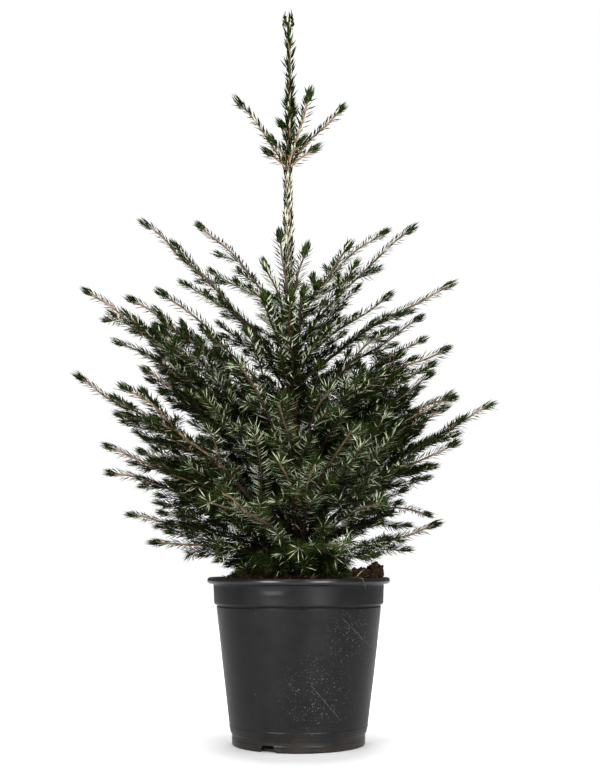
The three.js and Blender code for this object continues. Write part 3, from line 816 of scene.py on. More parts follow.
# Distance from the axis and height along the root
ROOT_OVER_LIP = [
    (96.0, 214.0),
    (106.0, 214.5),
    (114.0, 216.0),
    (119.5, 214.3),
    (121.2, 210.0),
    (121.4, 205.0),
    (120.4, 201.5),
]


def level_frames(points):
    """Side and up of a line that never runs straight up."""
    forward = unit(np.gradient(points, axis=0))
    side = unit(np.cross(UP, forward))
    return side, np.cross(forward, side)


def chip_tubes():
    chance = np.random.default_rng(CHIP_SEED)
    share = np.linspace(-0.5, 0.5, CHIP["stations"])
    for spot in spots_on_soil(CHIP["count"], chance):
        course = outward(chance.uniform(0, 360)) + UP * chance.uniform(*CHIP["rise"])
        bow = np.cross(UP, course) * chance.uniform(*CHIP["bow"])
        length = chance.uniform(*CHIP["length"])
        points = spot + length * (share[:, None] * course + (share**2)[:, None] * bow) + CHIP["lift"] * UP
        thick = chance.uniform(*CHIP["radius"])
        radii = thick * chance.uniform(*CHIP["ragged"], (CHIP["stations"], CHIP["sides"]))
        radii[[0, -1]] *= CHIP["end"]
        yield ring_points(points, *level_frames(points), radii, CHIP["sides"])


def root_tube():
    line = np.array(ROOT_OVER_LIP)
    out, across = outward(ROOT["bearing"]), outward(ROOT["bearing"] + 90)
    drift = np.linspace(*ROOT["drift"], len(line))
    points = line[:, :1] * out + drift[:, None] * across + line[:, 1:] * UP
    radii = ROOT["radius"] * np.linspace(1, ROOT["thinner"], len(line))
    return ring_points(points, *level_frames(points), radii, CHIP["sides"])


chip_wood, chip_tree, chip_shader = mottled_material(
    "chip_wood", (0.05, 0.026, 0.015), (0.20, 0.115, 0.07), patch_scale=240.0, roughness=0.85
)
roughen(chip_tree, chip_shader, grain_scale=700.0, strength=0.5, depth=0.5, stretch=(1, 1, 4))
chips = new_object("soil_wood_bits", *joined_tubes([*chip_tubes(), root_tube()]), [chip_wood])
add_to_plant(chips, "bark")

# %% [markdown]
# ## The trunk
#
# Old bark at the foot is red-brown and scaly. Higher up the stem is young: pale, with long ridges that run
# down from each needle. A ring mesh gives both reliefs as real shape, so they also show at the outline, and
# the colour follows the height.

# %% Trunk relief and finish
TRUNK_MESH = {"sides": 30, "spacing": 3.2, "overlap": 4.0}
SCALES = {"deep": 0.55, "across": 4.5, "tall": 9.0, "usual_radius": 6.0, "noise": (0.7, 2.0, 4)}
RIDGES = {"count": 8, "deep": 0.32, "twist": 40.0}
YOUNG_WOOD = (470.0, 620.0)


def trunk_rings():
    count = int((FORK - GROUND) / TRUNK_MESH["spacing"])
    heights = np.linspace(GROUND - TRUNK_MESH["overlap"], FORK + TRUNK_MESH["overlap"], count)
    turn = np.linspace(0, 2 * np.pi, TRUNK_MESH["sides"], endpoint=False)
    young = smooth_step(heights, *YOUNG_WOOD)
    radius = trunk_radius(np.maximum(heights, GROUND))
    ridges = RIDGES["deep"] * np.cos(RIDGES["count"] * turn[None] + heights[:, None] / RIDGES["twist"])
    side, up = np.tile([1.0, 0, 0], (count, 1)), np.tile([0, 1.0, 0], (count, 1))
    smooth_bark = ring_points(heights[:, None] * UP, side, up, radius, TRUNK_MESH["sides"])
    grain = (smooth_bark / [SCALES["across"], SCALES["across"], SCALES["tall"]]).reshape(-1, 3)
    scaly = np.array([noise.fractal(Vector(p), *SCALES["noise"]) for p in grain]).reshape(ridges.shape)
    scales = SCALES["deep"] * scaly * (radius / SCALES["usual_radius"])[:, None]
    relief = mix(scales, ridges, young[:, None])
    return ring_points(trunk_point(heights), side, up, radius[:, None] + relief, TRUNK_MESH["sides"])


def trunk_bark():
    material, tree, shader = new_material("trunk_bark", roughness=0.88, specular=0.2)
    where = place(tree, "ShaderNodeTexCoord").outputs["Object"]
    height = place(tree, "ShaderNodeSeparateXYZ", {0: where}).outputs["Z"]
    old = use_group(
        tree,
        MOTTLING,
        Patch_Scale=190.0,
        Stretch=(1, 1, 0.5),
        Dark_Tone=(0.05, 0.022, 0.014, 1),
        Light_Tone=(0.22, 0.10, 0.06, 1),
    )
    young = use_group(
        tree,
        MOTTLING,
        Patch_Scale=330.0,
        Stretch=(1, 1, 0.25),
        Dark_Tone=(0.22, 0.18, 0.11, 1),
        Light_Tone=(0.74, 0.69, 0.55, 1),
    )
    age = ramp(tree, height, YOUNG_WOOD[0] * MM, YOUNG_WOOD[1] * MM)
    tone = blend(tree, age, old.outputs["Color"], young.outputs["Color"])
    tree.links.new(tone, shader.inputs["Base Color"])
    roughen(tree, shader, grain_scale=520.0, strength=0.6, depth=0.8, stretch=(1, 1, 0.4))
    return material


trunk = new_object("trunk_bark", *joined_tubes([trunk_rings()]), [trunk_bark()])
add_to_plant(trunk, "bark", "trunk")

# %% [markdown]
# ## How the branches grow
#
# Each branch leaves the trunk at a height and a bearing, rises steeply and bends out towards its tip. Side
# shoots leave it in turn to the left and the right, lean forward and grow shorter towards the tip. The packed
# frames follow that rule with a seeded stream of numbers, and the same stream is used here, so the same side
# shoots stand in the same places. The rule then goes on: weaker shoots stand between them, and each side
# shoot carries twigs of its own. The boughs at the front carry single brushes without twigs, as on the real
# plant. They and the high boughs, which stand in full light, have fewer side shoots and no weak ones.

# %% The branches
# Name, height of the root above the soil, bearing, length to the last needle, rise at the root and at the tip
BRANCHES = [
    ("skirt_left", 14, 197, 201, 17, -3),
    ("skirt_back_left", 17, 158, 268, 22, 4),
    ("skirt_back", 14, 98, 205, 18, 2),
    ("skirt_back_right", 14, 33, 236, 50, -16),
    ("skirt_right", 14, 337, 191, 16, 13),
    ("skirt_front_right", 14, 286, 178, 16, 0),
    ("skirt_front_left", 16, 245, 240, 30, 8),
    ("spread_left", 28, 172, 290, 34, 10),
    ("low_left", 50, 194, 362, 42, 27),
    ("low_front_left", 34, 216, 334, 44, 29),
    ("low_right", 36, 352, 318, 50, 22),
    ("low_front", 36, 274, 222, 38, 14),
    ("low_back_right", 38, 62, 330, 46, 28),
    ("low_back", 36, 124, 340, 46, 28),
    ("mid_front_right", 72, 293, 204, 42, 22),
    ("mid_right", 76, 16, 290, 59, 14),
    ("mid_back_left", 104, 143, 335, 50, 31),
    ("mid_front", 106, 262, 190, 45, 26),
    ("mid_back", 100, 92, 320, 50, 30),
    ("mid_back_right", 96, 48, 305, 52, 30),
    ("mid_left", 120, 178, 398, 53, 32),
    ("mid_front_left", 122, 242, 214, 54, 32),
    ("mid_front_tall", 134, 285, 184, 42, 23),
    ("side_right", 160, 343, 250, 48, 18),
    ("side_back_right", 182, 30, 270, 46, 26),
    ("upper_front_left", 204, 208, 254, 49, 30),
    ("upper_front", 226, 268, 176, 57, 42),
    ("upper_back", 222, 76, 268, 54, 34),
    ("upper_back_left", 230, 126, 262, 54, 34),
    ("upper_right", 252, 4, 268, 42, 24),
    ("upper_left", 262, 182, 299, 56, 37),
    ("upper_front_right", 272, 330, 176, 40, 22),
    ("crown_right", 298, 354, 242, 56, 34),
    ("crown_front_right", 318, 306, 172, 47, 29),
    ("crown_back", 326, 92, 180, 58, 42),
    ("crown_left", 334, 150, 229, 56, 39),
    ("crown_back_right", 338, 30, 221, 53, 36),
    ("crown_front", 342, 256, 124, 74, 64),
    ("whorl_low", 556, 215, 46, 32, 20),
    ("whorl_left", 560, 183, 122, 57, 49),
    ("whorl_back", 560, 88, 112, 56, 46),
    ("whorl_front", 560, 304, 110, 61, 54),
    ("whorl_right", 560, 1, 118, 54, 43),
]
# Weaker boughs that stand between those, in the same form
FILL_BRANCHES = [
    ("low_fill_left", 46, 187, 285, 34, 16),
    ("low_fill_right", 36, 340, 252, 41, 25),
    ("mid_fill_right", 62, 340, 270, 52, 28),
    ("skirt_fill_front_right", 30, 312, 165, 34, 12),
    ("skirt_fill_front_left", 26, 228, 190, 32, 10),
    ("mid_fill_left", 110, 196, 262, 47, 26),
    ("mid_fill_back_left", 130, 172, 318, 49, 26),
    ("crown_fill_front", 342, 296, 108, 72, 58),
    ("low_fill_front", 46, 263, 212, 37, 13),
    ("low_fill_back_left", 40, 168, 262, 40, 20),
    ("upper_fill_back_right", 214, 14, 232, 46, 28),
    ("side_fill_right", 120, 356, 234, 48, 30),
    ("upper_fill_left", 190, 186, 288, 48, 29),
    ("upper_fill_front_right", 200, 322, 190, 46, 26),
    ("crown_fill_front_left", 322, 236, 110, 66, 52),
    ("upper_fill_front", 262, 282, 140, 60, 46),
    ("upper_fill_front_left", 240, 250, 160, 56, 42),
    ("mid_fill_back_right", 106, 18, 275, 55, 33),
    ("mid_fill_low_right", 83, 0, 244, 44, 26),
    ("side_fill_front_right", 127, 336, 222, 56, 40),
    ("skirt_fill_front", 20, 268, 168, 14, -8),
    ("low_fill_back", 50, 96, 205, 38, 16),
    ("low_fill_back_right", 66, 76, 214, 42, 20),
    ("mid_fill_back", 112, 106, 205, 46, 26),
    ("low_fill_rear_left", 72, 148, 200, 42, 22),
    ("upper_fill_back", 168, 88, 196, 50, 30),
    ("whorl_fill_right", 556, 338, 56, 38, 24),
    ("whorl_fill_back", 572, 52, 46, 52, 38),
    ("whorl_fill_front", 570, 330, 42, 50, 40),
    ("whorl_fill_left", 572, 200, 40, 52, 40),
    ("whorl_spur_left", 610, 190, 20, 52, 48),
    ("whorl_spur_right", 628, 345, 20, 56, 50),
    ("whorl_spur_back", 650, 80, 18, 56, 50),
]
LIMB_NODES = sorted(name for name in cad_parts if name.startswith("limb_"))
LIMB = {"share": 0.2, "foot_radius": 4.2, "radius_per_length": 0.003, "usual_length": 300.0}
# The wood of a shoot ends this far short of its last needle
BUD = 14.0
print(len(BRANCHES), "branches,", len(LIMB_NODES), "of them with a thick limb")


# %% A repeatable stream of numbers
WORD = 2**32
SCRAMBLE, FACTOR, ADDEND = 2654435761, 1664525, 1013904223
SEED_FIRST, SEED_STEP = 4127, 97


def seeded(seed):
    """Numbers from 0 to 1, by a linear congruence on 32 bits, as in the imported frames."""
    state = seed * SCRAMBLE % WORD
    while True:
        state = (state * FACTOR + ADDEND) % WORD
        yield state / WORD


def between(span, stream):
    return mix(span[0], span[1], next(stream))


def about(share, stream):
    return mix(1 - share, 1 + share, next(stream))


# %% A shoot and its line
@dataclass
class Shoot:
    """A stretch of wood with needles. line(along) gives points, forward, side and up."""

    line: Callable
    reach: float
    bare: float
    radii: tuple
    order: int
    group: str


WANDER = {"wave": (95.0, 170.0), "deep": 3.2}


def branch_line(height, bearing, length, rise, tip_rise, stream):
    """A line that turns evenly from its rise at the root to its rise at the tip, with a slight wander."""
    out = outward(bearing)
    side = np.cross(UP, out)
    low, turn = math.radians(rise), math.radians(tip_rise - rise)
    foot = GROUND + height
    root = trunk_point(foot) + out * trunk_radius(foot)
    waves = [(between(WANDER["wave"], stream), between((0, 2 * math.pi), stream)) for _ in range(2)]

    def line(along):
        angle = low + turn * along / length
        flat = length * (np.sin(angle) - math.sin(low)) / turn
        climb = length * (math.cos(low) - np.cos(angle)) / turn
        forward = np.cos(angle)[:, None] * out + np.sin(angle)[:, None] * UP
        sides = np.tile(side, (len(along), 1))
        up = np.cross(forward, sides)
        sway, lift = (
            WANDER["deep"] * np.maximum(along, 0) / length * np.sin(2 * np.pi * along / wave + start)
            for wave, start in waves
        )
        points = root + flat[:, None] * out + climb[:, None] * UP + sway[:, None] * sides + lift[:, None] * up
        return points, forward, sides, up

    return line


def side_line(root, start, finish, length):
    """A line that bends evenly from one direction to another."""

    def line(along):
        share = (along / length)[:, None]
        forward = unit(start + (finish - start) * share)
        side = unit(np.cross(UP, forward))
        points = root + along[:, None] * start + share**2 * length / 2 * (finish - start)
        return points, forward, side, np.cross(forward, side)

    return line


# %% Room in the air
AIR = {"trunk": 1.0, "soil": 1.2, "lip": 2.0}


def in_open_air(points):
    """True where a point is clear of the trunk, the soil and the pot."""
    x, y, z = points.T
    stem = trunk_point(np.minimum(z, FORK))
    clear = np.hypot(x - stem[:, 0], y) > np.where(z < FORK, trunk_radius(z) + AIR["trunk"], 0)
    from_axis = np.hypot(x, y)
    over_lip = from_axis > wall_radius(POT_HEIGHT) - POT_WALL - AIR["lip"]
    ground = np.where(over_lip, POT_HEIGHT + AIR["lip"], soil_height(x, y) + AIR["soil"])
    return clear & ((z > ground) | (from_axis > LIP["radius"] + AIR["lip"]))


# %% Side shoots
BEND = {"keep": 0.6, "forward": 0.45, "sky": 0.03}
VARIATION = {"gap": 0.2, "length": 0.18}
SIDE_RULE = {
    "first": 0.16, "after": 8.0, "gap": 29.0, "free_tip": 78.0, "share": 0.6, "lengths": (45.0, 140.0),
    "roll": (-55, 25), "spread": (28, 46), "radii": (1.2, 0.8),
}
WEAK_RULE = {
    "first": 0.1, "after": 8.0, "gap": 26.0, "free_tip": 95.0, "share": 0.45, "lengths": (40.0, 110.0),
    "roll": (-45, 40), "spread": (34, 58), "radii": (0.9, 0.6),
}
OPEN_RULE = {**SIDE_RULE, "gap": 40.0, "free_tip": 92.0, "share": 0.48}
TWIG_RULE = {
    "first": 0.14, "after": 5.0, "gap": 21.0, "free_tip": 36.0, "share": 0.55, "lengths": (28.0, 62.0),
    "roll": (-35, 35), "spread": (34, 50), "radii": (0.6, 0.4),
}
LEAST_SHOOT = 12.0
SHOOT_BARE = 2.0
FEELER = {"first": 4.0, "steps": 12}


def open_reach(line, length):
    """How far a line runs before it meets something."""
    steps = np.linspace(FEELER["first"], length, FEELER["steps"])
    blocked = np.flatnonzero(~in_open_air(line(steps)[0]))
    return length if len(blocked) == 0 else steps[blocked[0]] - FEELER["first"]


def side_shoots(parent, rule, stream):
    """Shoots that leave the parent in turn to the left and the right, and stop where they meet something."""
    turn = 1 if next(stream) < 0.5 else -1
    along = max(parent.bare, rule["first"] * parent.reach) + rule["after"]
    found = []
    while along < parent.reach - rule["free_tip"]:
        roll = math.radians(between(rule["roll"], stream))
        spread = math.radians(between(rule["spread"], stream))
        wanted = (parent.reach - along) * rule["share"] * about(VARIATION["length"], stream)
        root, forward, side, up = (row[0] for row in parent.line(np.array([along])))
        across = side * turn * math.cos(roll) + up * math.sin(roll)
        start = forward * math.cos(spread) + across * math.sin(spread)
        finish = unit(start * BEND["keep"] + forward * BEND["forward"] + UP * BEND["sky"])
        length = float(np.clip(wanted, *rule["lengths"]))
        line = side_line(root, start, finish, length)
        reach = open_reach(line, length)
        if reach > LEAST_SHOOT:
            found.append(Shoot(line, reach, SHOOT_BARE, rule["radii"], parent.order + 1, parent.group))
        along += rule["gap"] * about(VARIATION["gap"], stream)
        turn = -turn
    return found


# %% Grow every branch
BOUGH_RADII = (2.0, 1.2)
LEAST_BRANCH = 130.0
OPEN_FROM = 200.0
FILL_SEED, WEAK_SEED, TWIG_SEED_STEP = 50021, 90001, 31


def group_of(name):
    """Branches near each other share one piece of needles."""
    tier = name.split("_")[0].replace("spread", "skirt").replace("side", "upper")
    half = "back" if "back" in name else "front"
    return tier if tier in ("crown", "whorl") else f"{tier}_{half}"


def grow(index, name, height, bearing, length, rise, tip_rise):
    """One branch with its side shoots and twigs."""
    has_limb = f"limb_{name}" in LIMB_NODES
    thick = LIMB["foot_radius"] + (length - LIMB["usual_length"]) * LIMB["radius_per_length"]
    radii = (thick, BOUGH_RADII[1]) if has_limb else BOUGH_RADII
    seed = SEED_FIRST + SEED_STEP * index
    line = branch_line(height, bearing, length, rise, tip_rise, seeded(seed + FILL_SEED))
    bough = Shoot(line, length, LIMB["share"] * length if has_limb else 0.0, radii, 1, group_of(name))
    if length < LEAST_BRANCH:
        return [bough]
    is_front = "front" in name
    is_open = height >= OPEN_FROM or is_front
    sides = side_shoots(bough, OPEN_RULE if is_open else SIDE_RULE, seeded(seed))
    if not is_open:
        sides += side_shoots(bough, WEAK_RULE, seeded(seed + WEAK_SEED))
    if is_front:
        return [bough, *sides]
    found = [bough]
    for number, shoot in enumerate(sides):
        found += [shoot, *side_shoots(shoot, TWIG_RULE, seeded(seed * TWIG_SEED_STEP + number))]
    return found


shoots = [shoot for index, row in enumerate(BRANCHES + FILL_BRANCHES) for shoot in grow(index, *row)]
for order, kind in enumerate(("boughs", "side shoots", "twigs"), 1):
    lengths = [shoot.reach for shoot in shoots if shoot.order == order]
    print(len(lengths), kind, round(sum(lengths) / 1000, 1), "metres in all")

# %% [markdown]
# Weak shoots also stand on the trunk itself, between the branches. They fill the middle of the crown, which
# is so dense on a young spruce that no light comes through. They climb in a spiral by the golden angle, the
# way a stem really places its buds. The lowest ones lie almost level over the soil and hide the trunk's foot,
# except at the right, where the soil shows.

# %% Shoots on the trunk
GOLDEN_ANGLE = 137.508
INNER_SHOOTS = {
    "low": 16.0, "high": 330.0, "step": 6.0, "lengths": (60.0, 125.0), "rise": (28, 60), "bend": -16,
    "bearing": 40, "bare_side": 0,
}
FOOT_SHOOTS = {
    "low": 4.0, "high": 32.0, "step": 0.55, "lengths": (70.0, 120.0), "rise": (-4, 10), "bend": -22,
    "bearing": 262, "bare_side": 42,
}
WEAK_SHOOT = {"bare": 4.0, "radii": (1.6, 0.9), "upper_from": 150.0}


def trunk_shoots(rule, stream):
    """Shoots in a spiral up the trunk, with their twigs. Heights are above the soil."""
    count = int((rule["high"] - rule["low"]) / rule["step"])
    for i in range(count):
        height = rule["low"] + i * rule["step"]
        bearing = (rule["bearing"] + i * GOLDEN_ANGLE) % 360
        if min(bearing, 360 - bearing) < rule["bare_side"]:
            continue
        length, rise = between(rule["lengths"], stream), between(rule["rise"], stream)
        line = branch_line(height, bearing, length, rise, rise + rule["bend"], stream)
        group = "low_back" if height < WEAK_SHOOT["upper_from"] else "upper_back"
        shoot = Shoot(line, length, WEAK_SHOOT["bare"], WEAK_SHOOT["radii"], 2, group)
        yield shoot
        yield from side_shoots(shoot, TWIG_RULE, stream)


stream = seeded(SEED_FIRST - SEED_STEP)
inner = [*trunk_shoots(INNER_SHOOTS, stream), *trunk_shoots(FOOT_SHOOTS, stream)]
shoots += inner
print(len(inner), "shoots on the trunk and their twigs")


# %% The leading shoot
LEADER = {
    "length": 217.0, "bow": 2.4, "radii": (2.8, 1.9), "neck": 29.0, "tuft": 80, "per_mm": 1.2,
    "lean": (14, 46), "mostly_close": 1.2, "turn_vary": 0.5, "needle": (12.0, 18.0),
    "tones": (0.45, 0.32, 0.15, 0.08),
}


def leader_line(along):
    ones = np.ones((len(along), 1))
    bow = LEADER["bow"] * np.sin(np.pi * along / LEADER["length"])
    points = trunk_point(FORK) + along[:, None] * UP + bow[:, None] * [1.0, 0, 0]
    return points, ones * UP, ones * [1.0, 0, 0], ones * [0, 1.0, 0]


leader = Shoot(leader_line, LEADER["length"], 0.0, LEADER["radii"], 1, "whorl")

# %% [markdown]
# ## Bark of the boughs and twigs
#
# The boughs get enough sides and stations for real bark relief. The twigs are thinner than a needle is long,
# so five sides are enough, and all of them are one mesh. Young wood on this plant is a warm orange-brown.

# %% Bark with painted shade near the trunk
# Painted shade on the wood: its dark tone, and the distances and heights over which it gives way to light
WOOD_SHADE = {"tone": (0.030, 0.014, 0.009), "reach": (85.0, 225.0), "heights": (560.0, 760.0)}


def bark_with_painted_shade(name, dark, light, patch_scale):
    """Mottled bark with painted shade: wood near the trunk is much darker, except high up in the light."""
    material, tree, shader = mottled_material(name, dark, light, patch_scale, roughness=0.82)
    level = stretched_place(tree, (1, 1, 0))
    away = place(tree, "ShaderNodeVectorMath", {0: level}, operation="LENGTH").outputs["Value"]
    height = place(tree, "ShaderNodeSeparateXYZ", {0: stretched_place(tree, (1, 1, 1))}).outputs["Z"]
    outer, upper = (
        ramp(tree, value, low * MM, high * MM)
        for value, (low, high) in ((away, WOOD_SHADE["reach"]), (height, WOOD_SHADE["heights"]))
    )
    in_light = maths(tree, "MAXIMUM", outer, upper)
    tone = shader.inputs["Base Color"].links[0].from_socket
    tree.links.new(blend(tree, in_light, (*WOOD_SHADE["tone"], 1), tone), shader.inputs["Base Color"])
    roughen(tree, shader, grain_scale=700.0, strength=0.6, depth=0.5)
    return material


# %% Boughs
BOUGH_MESH = {"sides": 9, "spacing": 5.0, "relief": 0.16}
BOUGH_GRAIN = {"across": 1.3, "along": 6.0, "noise": (0.7, 2.0, 3)}
TWIG_MESH = {"sides": 5, "spacing": 10.0}
ROOT_OVERLAP = 2.0
TAPER = 0.35


def wood_rings(shoot, sides, spacing, relief=0.0):
    """Rings round a shoot's wood, from inside its parent to its bud."""
    count = max(3, int(shoot.reach / spacing))
    along = np.linspace(-ROOT_OVERLAP, shoot.reach - BUD, count)
    points, _, side, up = shoot.line(along)
    share = np.linspace(0, 1, count)
    radii = mix(shoot.radii[0], shoot.radii[1], share**TAPER)[:, None] * np.ones((1, sides))
    if relief:
        spots = [
            Vector((k * BOUGH_GRAIN["across"], a / BOUGH_GRAIN["along"], shoot.reach))
            for a in along
            for k in range(sides)
        ]
        bumps = np.array([noise.fractal(spot, *BOUGH_GRAIN["noise"]) for spot in spots])
        radii = radii * (1 + relief * bumps.reshape(radii.shape))
    return ring_points(points, side, up, radii, sides)


bough_bark = bark_with_painted_shade("bough_bark", (0.17, 0.092, 0.048), (0.58, 0.36, 0.21), patch_scale=90.0)
bough_tubes = [wood_rings(shoot, **BOUGH_MESH) for shoot in [*shoots, leader] if shoot.order == 1]
add_to_plant(new_object("bough_bark", *joined_tubes(bough_tubes), [bough_bark]), "bark", *LIMB_NODES)

# %% Twigs
twig_bark = bark_with_painted_shade("twig_bark", (0.10, 0.062, 0.030), (0.40, 0.26, 0.14), patch_scale=70.0)
twig_tubes = [wood_rings(shoot, **TWIG_MESH) for shoot in shoots if shoot.order > 1]
add_to_plant(new_object("twig_bark", *joined_tubes(twig_tubes), [twig_bark]), "bark")

# %% [markdown]
# ## Needles
#
# A needle of this spruce is flat and blunt, dark green above and silvery below, because of its pale breathing
# lines. Each one here is a slim closed blade, a flat kite below and a ridge on top: six triangles with two
# colours. On a shoot the needles stand in a spiral, lean forward, part below, and crowd into a tuft at the
# tip. That arrangement, more than the blade itself, is what makes the plant a spruce.

# %% Needle colours
# Painted shade, deep, middle and fresh green, then the silver and the grey of lower sides
NEEDLE_TONES = {
    "needle_shaded": ((0.0028, 0.0043, 0.0012), (0.0060, 0.0090, 0.0024)),
    "needle_deep": ((0.0036, 0.0060, 0.0015), (0.0070, 0.0115, 0.0027)),
    "needle_middle": ((0.0083, 0.0150, 0.0028), (0.0163, 0.0282, 0.0052)),
    "needle_fresh": ((0.030, 0.050, 0.009), (0.053, 0.086, 0.015)),
    "needle_silver": ((0.64, 0.71, 0.47), (0.90, 0.97, 0.69)),
    "needle_grey": ((0.019, 0.031, 0.008), (0.042, 0.063, 0.019)),
}
NEEDLE_FINISH = {"patch_scale": 150.0, "roughness": 0.55, "specular": 0.05}
NEEDLE_MATERIALS = [
    mottled_material(name, *tones, **NEEDLE_FINISH)[0] for name, tones in NEEDLE_TONES.items()
]
SHADED, DEEP, MIDDLE, FRESH, SILVER, GREY = range(len(NEEDLE_TONES))
print(len(NEEDLE_MATERIALS), "needle tones")


# %% Needle blade
BLADE = {"width": 1.15, "ridge": 0.7, "widest": 0.48}


@dataclass
class Needles:
    """Rows for many needles: foot, direction, top normal, bend of the tip, length, width and two tones."""

    foot: np.ndarray
    direction: np.ndarray
    normal: np.ndarray
    bend: np.ndarray
    length: np.ndarray
    width: np.ndarray
    upper: np.ndarray
    lower: np.ndarray

    def picked(self, keep):
        return Needles(*(getattr(self, name)[keep] for name in self.__dataclass_fields__))

    def tips(self):
        return self.foot + self.direction * self.length[:, None] + self.bend


def gathered(rows):
    fields = Needles.__dataclass_fields__
    return Needles(*(np.concatenate([getattr(row, name) for row in rows]) for name in fields))


def needle_mesh(needles):
    """Points, faces and each face's material. A blade has a foot, a left, a ridge, a right and a tip."""
    across = np.cross(needles.normal, needles.direction) * needles.width[:, None] / 2
    ridge = needles.normal * BLADE["ridge"]
    widest = needles.foot + needles.direction * (needles.length * BLADE["widest"])[:, None]
    widest = widest + needles.bend * BLADE["widest"] ** 2
    corners = [needles.foot, widest + across, widest + ridge, widest - across, needles.tips()]
    points = np.stack(corners, axis=1)
    first = (np.arange(len(points)) * len(corners))[:, None, None]
    faces = first + np.array([[0, 2, 1], [0, 3, 2], [1, 2, 4], [2, 3, 4], [0, 1, 3], [3, 1, 4]])
    tones = np.stack([*[needles.upper] * 4, *[needles.lower] * 2], axis=1)
    return points.reshape(-1, 3), [faces.reshape(-1, 3)], tones.ravel()


# %% Needles standing on a shoot
TOP_FACING = {"sky": 0.8, "shoot": 0.35, "vary": 0.2}
CURL = {"forward": 0.12, "sky": 0.03}
FOOT_DEPTH = 0.75


def needle_rows(along, spin, lean, length, shoot, upper, lower, chance, stout, cup=0.0):
    """Needles that stand on a shoot at the given places, turns about it, leans and lengths."""
    points, forward, side, up = shoot.line(along)
    radial = side * np.cos(spin)[:, None] + up * np.sin(spin)[:, None]
    outwards = radial * np.sin(lean)[:, None]
    direction = forward * np.cos(lean)[:, None] + outwards
    facing = TOP_FACING["sky"] * UP + TOP_FACING["shoot"] * up
    facing = facing + chance.normal(0, TOP_FACING["vary"], up.shape)
    normal = unit(facing - direction * np.sum(facing * direction, axis=1, keepdims=True))
    bend = (forward * CURL["forward"] + UP * CURL["sky"] - outwards * cup) * length[:, None]
    wood = mix(shoot.radii[0], shoot.radii[1], np.clip(along / shoot.reach, 0, 1) ** TAPER)
    foot = points + radial * (wood * FOOT_DEPTH)[:, None]
    tones = (np.broadcast_to(tone, len(along)) for tone in (upper, lower))
    width = np.full(len(along), BLADE["width"] * stout)
    return Needles(foot, direction, normal, bend, length, width, *tones)


# %% [markdown]
# Sprays don't look alike all over the crown. In front they face the light and show fresh green and silver.
# Low down they are shaded, and at the outline the needles are short and stout. So each spray takes its tones,
# its density and its tuft from the part of the crown that it stands in. Its tones are painted light and
# shade:
# more fresh green and silver where the light falls, more deep green in the shade. Near the trunk most needles
# get painted shade, a dark tone, except high up. A picture laid over the crown would give such tones from one
# side only.

# %% Parts of the crown
@dataclass
class Zone:
    """The sprays of one part of the crown."""

    greens: tuple
    silver: float
    under: int
    stout: float
    length: float
    per_mm: float
    star: str


# Shares of deep, middle and fresh green, share of silver, tone of other lower sides, factors of width and of
# length, needles for each millimetre, and the kind of tuft where a tip faces the front
# The shares of green and of silver are painted light and shade, so they differ from zone to zone.
ZONES = {
    "low": Zone((0.72, 0.24, 0.04), 0.03, MIDDLE, 1.4, 0.86, 1.45, "shaded"),
    "inner": Zone((0.74, 0.21, 0.05), 0.26, MIDDLE, 1.0, 1.0, 1.5, "open"),
    "outer": Zone((0.62, 0.30, 0.08), 0.06, MIDDLE, 1.6, 0.84, 1.45, "tight"),
    "shoulder": Zone((0.24, 0.44, 0.32), 0.30, GREY, 1.5, 0.82, 1.2, "tight"),
    "upper": Zone((0.20, 0.40, 0.40), 0.50, GREY, 1.6, 0.82, 1.15, "tight"),
    "whorl": Zone((0.45, 0.35, 0.20), 0.10, GREY, 2.2, 0.80, 0.95, "tight"),
    "front": Zone((0.26, 0.46, 0.28), 0.54, GREY, 0.9, 1.0, 1.5, "open"),
}
# Distances to either side of the axis and heights at which one zone meets the next
EDGE = {"outer": 108.0, "front": 105.0, "low": 335.0, "upper": 455.0, "crown": 590.0}
FACES_FRONT = 0.4
SHADE = {"behind": 38.0, "reach": (35.0, 120.0), "heights": (420.0, 620.0)}
SILVER_VARY = (0.3, 1.7)


def zone(shoot):
    """The part of the crown that a spray belongs to."""
    root, tip = shoot.line(np.array([shoot.bare, shoot.reach]))[0]
    x, _, z = (root + tip) / 2
    if shoot.group == "whorl":
        return ZONES["whorl"]
    if z > EDGE["upper"]:
        return ZONES["shoulder" if z < EDGE["crown"] and abs(x) > EDGE["outer"] else "upper"]
    if "front" in shoot.group and abs(x) < EDGE["front"] and unit(tip - root)[1] < -FACES_FRONT:
        return ZONES["front"]
    if z < EDGE["low"]:
        return ZONES["low"]
    return ZONES["outer" if abs(x) > EDGE["outer"] else "inner"]


def distance_to_trunk(points):
    return np.linalg.norm((points - trunk_point(np.minimum(points[:, 2], FORK)))[:, :2], axis=1)


def light_share(points):
    """The share of needles in the light: all of them outside or high up, few of them behind the trunk."""
    outer = smooth_step(distance_to_trunk(points - [0, SHADE["behind"], 0]), *SHADE["reach"])
    return np.maximum(outer, smooth_step(points[:, 2], *SHADE["heights"]))


def spray_tones(points, level, kind, chance):
    """The tones of one spray: a green above, silver under some level needles, and painted shade near the
    trunk.
    """
    lit = chance.random(len(points)) < light_share(points)
    silver = level & (chance.random(len(points)) < kind.silver * chance.uniform(*SILVER_VARY))
    green = chance.choice([DEEP, MIDDLE, FRESH], p=kind.greens)
    pale = np.where(silver, SILVER, np.where(level, kind.under, MIDDLE))
    # Needles out of the light get painted shade: the shaded green above and the deep green below.
    return np.where(lit, green, SHADED), np.where(lit, pale, DEEP)


# %% [markdown]
# At the tip of a shoot the new needles crowd round the bud. A tip that faces the front opens into a star, in
# the inner and front parts of the crown and low down. The others stay shut, as blunt bundles whose outer
# needles curl in. The needles of a bundle turn every way, so both sides of each have one tone.

# %% Tufts at the tips
TUFT_COUNT = {1: 48, 2: 32, 3: 20}
TUFT_SIZE = {1: 1.0, 2: 0.86, 3: 0.72}
LONGER_OUTSIDE = 0.15
